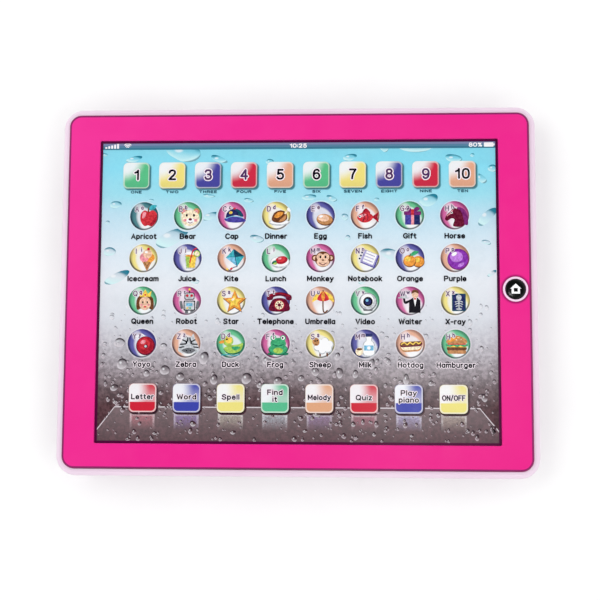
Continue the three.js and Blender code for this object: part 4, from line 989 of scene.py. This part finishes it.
# Each picture's word, letter and tint, then its shapes, the lowest first, in tenths of its ball's radius.
PICTURES = """
Apricot A teal
curve red 2.8,3 5.8,3.8 8.2,1.4 7.8,-3.2 5,-6.4 2.6,-5.8 .2,-6.2 -2.2,-3 -2.2,1.4 .2,3.8
curve crimson 5,-6.2 7.8,-3.2 8,1 6.6,-1.6 4,-5
curve rose -.8,2.2 1.2,2.6 .6,-.4 -1.2,-1.2
line brown .9 2.7,2.8 2.8,4.6 3.8,6.2
curve teal 3,4.4 4.6,7.2 8,7 6.2,4.6

Bear B green
oval tan -2.4,3 2.1
oval tan 5.4,3 2.1
oval rose -2.4,3 1.1
oval rose 5.4,3 1.1
oval cream 1.5,-1.2 5.8,5.2
oval rose -1.8,-2.6 1.2,.9
oval rose 4.8,-2.6 1.2,.9
oval white 1.5,-3 2.5,1.9
oval wine 1.5,-2 1.1,.8
oval black -.8,.6 .65,.9
oval black 3.8,.6 .65,.9
line wine .45 .2,-3.8 1.5,-4.4 2.8,-3.8

Cap C magenta
curve navy -3.6,-1.2 -2.8,2.8 1.4,4.8 5.4,3.4 7.2,-.4 2,.6
curve deep_teal 1.4,4.6 5,3.2 6.8,-.2 4.4,.2 3.6,2.6
curve indigo -4.8,-1.6 0,-.4 6,-1 8.8,-3.2 3,-4.2 -2.8,-3.6
line sky .5 -3.8,-1.5 1,0 6.8,-1
oval red 1.5,4.9 .9,.6
oval gold -.8,2.2 1.1,.9 20

Dinner D yellow
oval silver 2,-4.2 6.8,2
oval white 2,-3.9 5.8,1.5
curve brown -2.6,-3 -1.4,1.8 2.6,3.6 6.2,2.2 6.8,-2 2.6,-4.4
curve orange -1.2,-.6 1,2.2 4.4,2.4 3.6,.4 .8,-1.2
curve tan 1.6,-3.6 5.6,-2.6 6.2,.6 4.2,-.8
line cream 1.3 5.8,1.8 7.4,3.6
oval white 7.8,4.4 .9
oval white 8.5,3.5 .8

Egg E indigo
oval brown 2.8,-2.6 5.3,3.7 -8
oval tan 2.6,-2.2 5,3.4 -8
oval peach 1.8,-1.4 3.6,2.2 -8
oval white .4,-.4 1.3,.7 20

Fish F salmon
corners crimson 4.2,-.8 8.8,2.6 7.8,-.9 8.8,-4.4
curve crimson -1.6,1.8 .6,4.8 3.4,1.6
curve red -5,-1.2 -1.8,2 2.6,1.8 5.2,-.8 2.6,-3.8 -1.8,-4.2
curve rose -3.8,-.6 -1.6,1.2 .8,.8 -1,-.8
line wine .5 -1.4,1.6 -.4,-1 -1.4,-3.8
line wine .4 1.2,1.2 1.8,-1 1.2,-3.4
oval white -3.2,-.4 .9
oval black -3.3,-.4 .5

Gift G green
box navy 1.8,-2.6 9.4,6.4 .4
box indigo -.6,-2.6 4.6,6.4 .3
box plum 1.8,1.6 10.8,2.4 .5
box rose 1.8,-2.6 1.8,6.4
box red 1.8,1.6 1.8,2.4
curve plum 1.8,3 -.6,5.6 -2.8,4.6 -1.4,3
curve plum 1.8,3 4.2,5.6 6.4,4.6 5,3
oval red 1.8,3.2 1.1,.9

Horse H magenta
curve plum 1.6,5 5.4,4.4 8,.4 8.2,-6 4.4,-4.4 3,.4
curve wine -.8,-6.8 0,-2.8 -1.8,-1.8 -4.6,-3.4 -6,-2.2 -4.8,.4 -2,3.2 -1,6 .6,4.6 3.4,3.4 5.2,-.4 5.6,-6.6
line rose .6 -4.6,-.2 -2.4,1.6 -1.2,3.4
oval white -1.8,1.8 .7
oval black -1.8,1.8 .4

Icecream I yellow
corners tan -1.2,-1.2 6,-1.2 2.4,-8.2
line brown .35 .2,-1.6 3.2,-6.6
line brown .35 4.6,-1.6 1.6,-6.6
oval orange 4.4,.4 2.8
oval rose .6,.6 2.9
oval peach 2.6,3 2.9
oval white 1.8,4 1,.7
oval red 3.2,6 .9

Juice J indigo
corners silver -1.8,3.4 6.2,3.4 5.2,-6.6 -.8,-6.6
corners gold -1.3,1.6 5.7,1.6 4.8,-6 -.4,-6
corners lime -1.3,1.6 1.6,1.6 1,-6 -.4,-6
oval white 2.2,3.3 4,.9
oval orange 2.2,1.7 3.4,.7
line red .8 1.6,-2.6 3.4,4.6 5.6,6.4
oval lime 6,3 2.1
oval cream 6,3 1.5

Kite K salmon
corners teal 1.4,6 8.2,1.4 3.6,-5.2 -3.6,.4
corners deep_teal 1.4,6 8.2,1.4 2.2,.8
corners sky -3.6,.4 2.2,.8 3.6,-5.2
line navy .4 1.4,6 2.2,.8 3.6,-5.2
line navy .5 3.6,-5.2 1,-6 -.6,-7.6 -3,-6.8
oval red 0,-6.6 .9,.6 40
oval gold -2.6,-7 .9,.6 -30

Lunch L green
oval silver 2.6,-2.6 6.4,3.8
oval white 2.6,-2.2 5.6,3.1
oval crimson 3.6,-1.2 3.9,2.5 12
oval red 3.2,-.7 3,1.7 12
oval rose 2.4,-.2 1.2,.6 12
oval leaf -1,-2.6 1.7,1 30
oval lime -.4,-3.4 1.3,.7 10

Monkey M magenta
oval brown -3.4,.2 2.1
oval brown 6.6,.2 2.1
oval peach -3.4,.2 1.2
oval peach 6.6,.2 1.2
oval brown 1.6,-.6 5
oval peach -.2,.8 2.2,2.3
oval peach 3.4,.8 2.2,2.3
oval peach 1.6,-2.6 4,2.7
oval black 0,.8 .6,.9
oval black 3.2,.8 .6,.9
oval brown 1.6,-1.2 .8,.5
line wine .5 -.6,-3 1.6,-4.2 3.8,-3

Notebook N yellow
box indigo 3,-.6 9.6,8.6 .4 -22
box lavender 2.6,0 9.2,8.2 .4 -22
box white 3,.2 7,7 .3 -22
line lavender .5 .8,3.2 6,1.1
line lavender .5 .2,1.4 5.4,-.7
line lavender .5 -.6,-.4 4.6,-2.5
oval navy -1.8,3.6 .6
oval navy -2.6,1.7 .6
oval navy -3.4,-.2 .6

Orange O indigo
oval brown 5.4,-2.4 3.8,3.6
oval orange 5.3,-2 3.6,3.4
oval gold 4.6,-1.2 1.8,1.5
oval brown -.2,-2 4,3.8
oval orange -.3,-1.6 3.8,3.6
oval gold -1.2,-.6 1.9,1.6
curve green 0,1.6 2.4,4.4 5.6,4 3,1.8
line brown .5 -.2,1.2 .4,2.8

Purple P salmon
oval plum 2,-.8 6.8
oval purple 1.8,-.5 6.3
oval violet 1,.8 4,3.4
oval white -.4,2.6 1.8,1.1 30
oval violet 3.8,-4.2 2.2,1 30

Queen Q green
curve brown -3.4,-5.6 -3.4,1.6 1.6,4.4 6.6,1.6 6.6,-5.6 1.6,-3.6
oval peach 1.6,-1.6 3.7,4.3
corners gold -1.8,2.6 -2.4,6.4 -.2,4.4 1.6,7.2 3.4,4.4 5.6,6.4 5,2.6
oval black .2,-.9 .5,.7
oval black 3,-.9 .5,.7
oval red 1.6,-3.8 1,.5
oval rose -.6,-2.6 .8,.6
oval rose 3.8,-2.6 .8,.6
oval red 1.6,3.8 .6

Robot R magenta
box grey -3.4,-2.6 1.7,5.2 .7 10
box grey 6.8,-2.6 1.7,5.2 .7 -10
box black 1.7,-3 7.4,6.4 .8
box silver 1.7,-3 6.2,5.2 .6
box black 1.7,3 6.4,4.6 1
box silver 1.7,3 5.4,3.6 .8
oval red .3,3.3 .9
oval red 3.1,3.3 .9
line black .5 1.7,5.2 1.7,6.8
oval gold 1.7,7.2 .8
box sky 1.7,-2.4 4,1.9 .3
oval gold .4,-4.6 .6
oval green 2.2,-4.6 .6
box grey 0,-7 2,1.8 .4
box grey 3.4,-7 2,1.8 .4

Star S yellow
star brown 2.3,-.9 7.9,3.6
star orange 2.2,-.6 7.4,3.3
star gold 2,-.4 4.8,2.1
oval cream 1.2,1 1.2,.7 40

Telephone T indigo
curve wine -3.6,-6.2 -2.8,-.6 0,1.6 5,1.6 7.6,-.6 8.4,-6.2
curve wine -5.2,.6 -4.6,3.8 2.4,5.6 9.4,3.8 9.8,.6 6.8,.8 6.2,2.4 2.4,3.2 -1.2,2.4 -2,.8
line crimson .7 -4,3.2 2.4,4.9 8.6,3.2
oval crimson 2.4,-2.6 3.4
oval cream 2.4,-2.6 2.7
oval wine 2.4,-2.6 1.1
ring wine 2.4,-2.6 1.9,1.9 .42 .2,.9,7

Umbrella U salmon
line brown .8 1.8,4.4 1.8,-5.4 3,-7.2 4.4,-6
curve gold -5,-.6 -3.4,3.8 1.8,6 7,3.8 8.6,-.6 5.4,.8 1.8,-.2 -1.8,.8
curve red 1.8,6 -.8,3.6 -1.8,.8 1.8,-.2 5.4,.8 4.4,3.6
curve orange 1.8,6 .6,3 1.8,-.2 3,3
oval brown 1.8,6.4 .5

Video V green
box grey 1.8,-5.4 6,1.8 .8
oval grey 1.8,-.4 5.6
oval silver 1.8,-.2 5.1
oval white 1.4,.4 4
oval black 1.8,-.4 3
oval navy 1.8,-.4 2
oval sky 1.2,.4 .9

Waiter W magenta
corners black -.8,-7.4 -.6,.6 1.6,2 4.6,2 6.4,.4 6.4,-7.4
corners white 2,1.8 4.2,1.8 3.1,-3.6
oval red 3.1,1.3 .8,.5
oval peach 3.1,4.2 2.1,2.4
curve brown .9,4.6 1.6,6.8 4.6,6.8 5.3,4.6 3.1,5.6
line black 1.3 -.2,.2 -3,-1.2 -3.8,1.4
line silver .7 -7.2,2 -.8,2
curve silver -6.2,2.4 -4,5 -1.8,2.4
oval grey -4,5.2 .5

X-ray X yellow
box deep_teal 2.2,-.8 8.6,11 .6
box navy 2.2,-.8 7.4,9.8 .5
oval silver 2.2,2.2 1.7,1.9
line silver .8 2.2,.6 2.2,-5
line silver .6 0,-.6 2.2,0 4.4,-.6
line silver .6 0,-2 2.2,-1.4 4.4,-2
line silver .6 .4,-3.4 2.2,-2.8 4,-3.4
curve silver .4,-5 2.2,-4.2 4,-5 2.2,-5.8

Yoyo Y indigo
line white .6 3,3 0,6 -3.4,4.6 -6,6
oval wine 2.4,-1.4 6
oval crimson 2.2,-1.1 5.4
oval red 1.6,-.2 3.6
oval rose .8,1 1.7,1.2 30
oval wine 2.6,-1.8 1.3
oval silver 2.5,-1.7 .8

Zebra Z salmon
curve silver -4.6,-5 -4.4,-1.2 -2,3 -1.2,6.2 .6,4.4 3,4.4 4.6,6.2 5.6,3 7.6,-1.2 7.8,-5 1.6,-6.4
line black .8 -2.2,2.4 .6,1.4 1,3.6
line black .8 5.6,2.4 3,1.4 2.4,3.6
line black .8 -3.6,-.4 -.4,-.2
line black .8 7,-.4 3.8,-.2
line black .7 -4.2,-2.4 -1.4,-2
line black .7 7.6,-2.4 4.8,-2
curve grey -2.8,-4.2 1.6,-2.6 6,-4.2 1.6,-6.2
oval black .2,.6 .6,.8
oval black 3.2,.6 .6,.8
oval black .4,-4.4 .45
oval black 2.8,-4.4 .45

Duck D green
curve leaf -4.4,-3 -1,-1.4 4.6,-.6 8.4,.4 7.4,-4.4 3,-6.8 -2,-6.2
curve lime -4.2,-2.8 -1,-1.2 4.6,-.4 7.8,.4 6.6,-3.8 2.6,-5.8 -2,-5.4
oval lime -1.6,1.8 3.3
oval gold -1.2,2.4 2.2
curve green .6,-2.2 4,-1.6 6,-2.4 3,-4.2
curve orange -4.4,2.2 -7.2,1.4 -6.8,.2 -4.2,.6
oval black -2.4,2.8 .6
line teal .6 -5.8,-7.2 -2,-6.8 1.6,-7.4 5.6,-6.8

Frog F magenta
oval leaf 1.8,-3.6 6.2,3.6
oval green 1.8,-3.2 5.6,3.2
oval green 1.8,.2 4.9,3.6
oval green -1.2,3.6 1.9
oval green 4.8,3.6 1.9
oval white -1.2,3.8 1.2
oval white 4.8,3.8 1.2
oval black -1,3.8 .6
oval black 4.6,3.8 .6
line leaf .6 -1.6,-.2 1.8,-1.4 5.2,-.2
oval lime 1.8,-4.2 3,1.8
line leaf 1.4 -4,-6.2 -1.8,-6.6
line leaf 1.4 7.6,-6.2 5.4,-6.6

Sheep S yellow
line brown 1 0,-4.2 0,-7.4
line brown 1 4.4,-4.2 4.4,-7.4
ring silver 2.2,-1.2 3.9,2.9 2.5 .3,1.05,6
ring white 2.1,-.9 3.7,2.7 2.2 .3,1.05,6
oval white 2.2,-1 3.8,2.8
oval tan -2.6,1.4 2.2,2.6 12
oval black -3.2,1.9 .5
oval black -1.8,2.1 .5
oval brown -2.6,-.2 .7,.4

Milk M indigo
curve silver -1.2,-7 -1.4,0 .4,2.4 .4,5 4.2,5 4.2,2.4 6,0 5.8,-7
curve white -.6,-6.4 -.8,-.2 .9,2.2 .9,4.4 3.7,4.4 3.7,2.2 5.4,-.2 5.2,-6.4
box navy 2.3,5.6 4.6,1.9 .6
box sky 2.3,-2.4 6,3.2 .3
oval white 2.3,-2.4 1.1
oval cream -3.6,-4.6 2.4,2.6
oval brown -3.6,-3.2 1.9,.7

Hotdog H salmon
box tan .4,-1.4 13.4,6.6 3.2 4
box cream .4,-.9 12.6,5.4 2.6 4
box wine .4,0 14,3.2 1.6 4
box brown .4,.3 13.2,2.4 1.2 4
line gold .7 -5.6,0 -3.8,1 -2,-.2 -.2,1.1 1.6,0 3.4,1.3 5.2,.4 6.4,1.2

Hamburger H green
box tan .6,-4.6 11.6,2.6 1.2
box brown .6,-2.6 12.4,2.2 1.1
box gold .6,-1.3 12,.9 .2
line green 1.2 -5.8,-.4 -3.6,-1 -1.4,-.2 .8,-1 3,-.2 5.2,-1 7,-.4
box red .6,.3 11.4,1 .5
curve tan -5.6,.8 -4.6,3.6 .6,5.4 5.8,3.6 6.8,.8 .6,.4
curve orange -4.6,1.4 -3.6,3.4 .6,4.8 2.6,4.2 -.4,2.4
oval cream -1.2,3.8 .5,.3
oval cream 1.4,4.2 .5,.3
oval cream 3.4,3.2 .5,.3
oval cream .4,2.8 .5,.3
"""


def picture_shapes(rows):
    """The ink and outline of every shape of a picture."""
    made = []
    for row in rows:
        kind, name, *values = row.split()
        made += [(name, outline) for outline in SHAPES[kind](*pairs(" ".join(values)))]
    return made


UNIT = BALL / 10
picture_rows = [Print(f"pictures_row_{row + 1}_print", 0.12) for row in range(4)]
for index, picture in enumerate(PICTURES.strip().split("\n\n")):
    heading, *rows = picture.split("\n")
    word, letter, tint = heading.split()
    row, column = divmod(index, 8)
    x, y = COLUMN_X[column], ROW_Y[row]
    glow = BALL * 1.13
    shadows.face(oval(x, y, glow, sides=36), DISC_GLOW, 0.004, (x, y), (glow, glow))
    keys.face(oval(x, y, BALL, sides=44), BALL_PRINT, 0, (x, y), (BALL, BALL), linear(*TINTS[tint]))
    for order, (name, points) in enumerate(picture_shapes(rows)):
        placed = [(x + (0.4 + (px - 0.4) * 1.1) * UNIT, y + (py - 0.1) * 1.1 * UNIT) for px, py in points]
        picture_rows[row].face(placed, ink(name), order * 0.004)
    lettering.label(letter, x - 3.7, y + 3.6, 0.24, 0.24, 0.42, 0.85, ink("mark"), 0.075)
    lettering.label(letter.lower(), x - 1.0, y + 4.4, 0.18, 0.18, 0.42, 0.85, ink("mark"), 0.075)
    if row == 3:
        lettering.text(word, x, y - CAPTION_DROP, 0.275, 0.225, 1.25, ink("halo"))
    lettering.text(word, x, y - CAPTION_DROP, 0.275, 0.225, 0.60, ink("black"), 0.04)

# ---- Status bar, and the painted shade round the picture -----------------------------------------

status = Print("status_bar_print", 0.10)
white = ink("white")
for low, high, name in ((71.4, 72.5, "bar_low"), (72.5, 73.6, "bar_middle"), (73.6, TOP, "bar_high")):
    status.face(box(MIDDLE, (low + high) / 2, RIGHT - LEFT, high - low), ink(name))
for k in range(5):
    status.face(box(-97.4 + k * 1.5, 72.5 + 0.2 * k, 1.0, 0.9 + 0.4 * k, 0.1), white, 0.008)
for radius in (0.7, 1.5, 2.3):
    angles = [math.radians(a) for a in range(45, 136, 9)]
    arc = [(-86.4 + radius * math.cos(a), 72.3 + radius * math.sin(a)) for a in angles]
    status.ribbon(arc, False, 0.5, white, 0.008)
status.text("10:25", 0.6, 73.1, 0.25, 0.17, 0.5, white, 0.008)
status.text("80%", 89.6, 73.1, 0.25, 0.17, 0.5, white, 0.008)
status.face(box(96.2, 73.1, 4.8, 2.2, 0.4), white, 0.008)
status.face(box(98.9, 73.1, 0.5, 1.0), white, 0.008)

# The dark line round the picture is painted shade, for the bezel's window wall and its shadow on the film.
WINDOW_SHADE_WIDTH = 1.25  # the dark line's width
middle_y, wide, tall = (BOTTOM + TOP) / 2, RIGHT - LEFT, TOP - BOTTOM
for x, y, width, height in [
    (MIDDLE, TOP - WINDOW_SHADE_WIDTH / 2, wide, WINDOW_SHADE_WIDTH),
    (MIDDLE, BOTTOM + WINDOW_SHADE_WIDTH / 2, wide, WINDOW_SHADE_WIDTH),
    (LEFT + WINDOW_SHADE_WIDTH / 2, middle_y, WINDOW_SHADE_WIDTH, tall - 2 * WINDOW_SHADE_WIDTH),
    (RIGHT - WINDOW_SHADE_WIDTH / 2, middle_y, WINDOW_SHADE_WIDTH, tall - 2 * WINDOW_SHADE_WIDTH),
]:
    status.face(box(x, y, width, height), ink("edge"), 0.03)

for layer in [drops, shelf, shelf_drops, shadows, keys, *picture_rows, lettering, status]:
    layer.finish()

# ---- Floor, light and camera ---------------------------------------------------------------------

bpy.ops.mesh.primitive_grid_add(x_subdivisions=8, y_subdivisions=8, size=3.0, location=(0, 0, -0.02 * MM))
floor = bpy.context.object
floor.name = "floor"
floor_paper = surface("floor_paper", (0.95, 0.95, 0.95, 1), 0.7, 300.0, 0.00002, 0.01, specular=0.2)
floor.data.materials.append(floor_paper)

# A white tent with a dark opening overhead, where the camera looks in.
world = bpy.data.worlds.new("studio")
world.use_nodes = True
tent = world.node_tree
_, _, up = split(tent, node(tent, "TexCoord"))
tent.links.new(smoothstep(tent, up, 0.80, 0.92, 1.20, 0.06), tent.nodes["Background"].inputs[1])
tent.nodes["Background"].inputs[0].default_value = WHITE
bpy.context.scene.world = world


def softbox(name, at, size, power, towards=(0, 0, 0)):
    lamp = bpy.data.lights.new(name, "AREA")
    lamp.shape = "DISK"
    lamp.size = size
    lamp.energy = power
    holder = bpy.data.objects.new(name, lamp)
    holder.location = at
    holder.rotation_euler = (Vector(towards) - Vector(at)).to_track_quat("-Z", "Y").to_euler()
    bpy.context.scene.collection.objects.link(holder)


softbox("key", (-1.1, 0.3, 1.5), 1.2, 5.0)
softbox("fill", (1.0, -0.7, 1.4), 1.2, 3.0)
softbox("glint", (0.115, -0.048, 0.818), 0.08, 0.45, (0.108, 0, 0.02))

# The camera stands where the photograph's did: how it is turned, and where it sees the bezel's face.
TURN = Matrix.Rotation(-0.0902, 3, "X") @ Matrix.Rotation(-0.0429, 3, "Y") @ Matrix.Rotation(-0.0046, 3, "Z")
OFFSET = Vector((-1.859, 5.424, -490.82)) * MM
lens = bpy.data.cameras.new("camera")
lens.sensor_width = 36.0
lens.lens = 59.18
lens.clip_start = 0.05
camera = bpy.data.objects.new("camera", lens)
camera_place = Vector((0, 0, BEZEL_TOP)) - TURN.transposed() @ OFFSET
camera.matrix_world = Matrix.Translation(camera_place) @ TURN.transposed().to_4x4()
bpy.context.scene.collection.objects.link(camera)
bpy.context.scene.camera = camera
bpy.context.scene.view_settings.view_transform = "Standard"
bpy.context.scene.view_settings.look = "None"
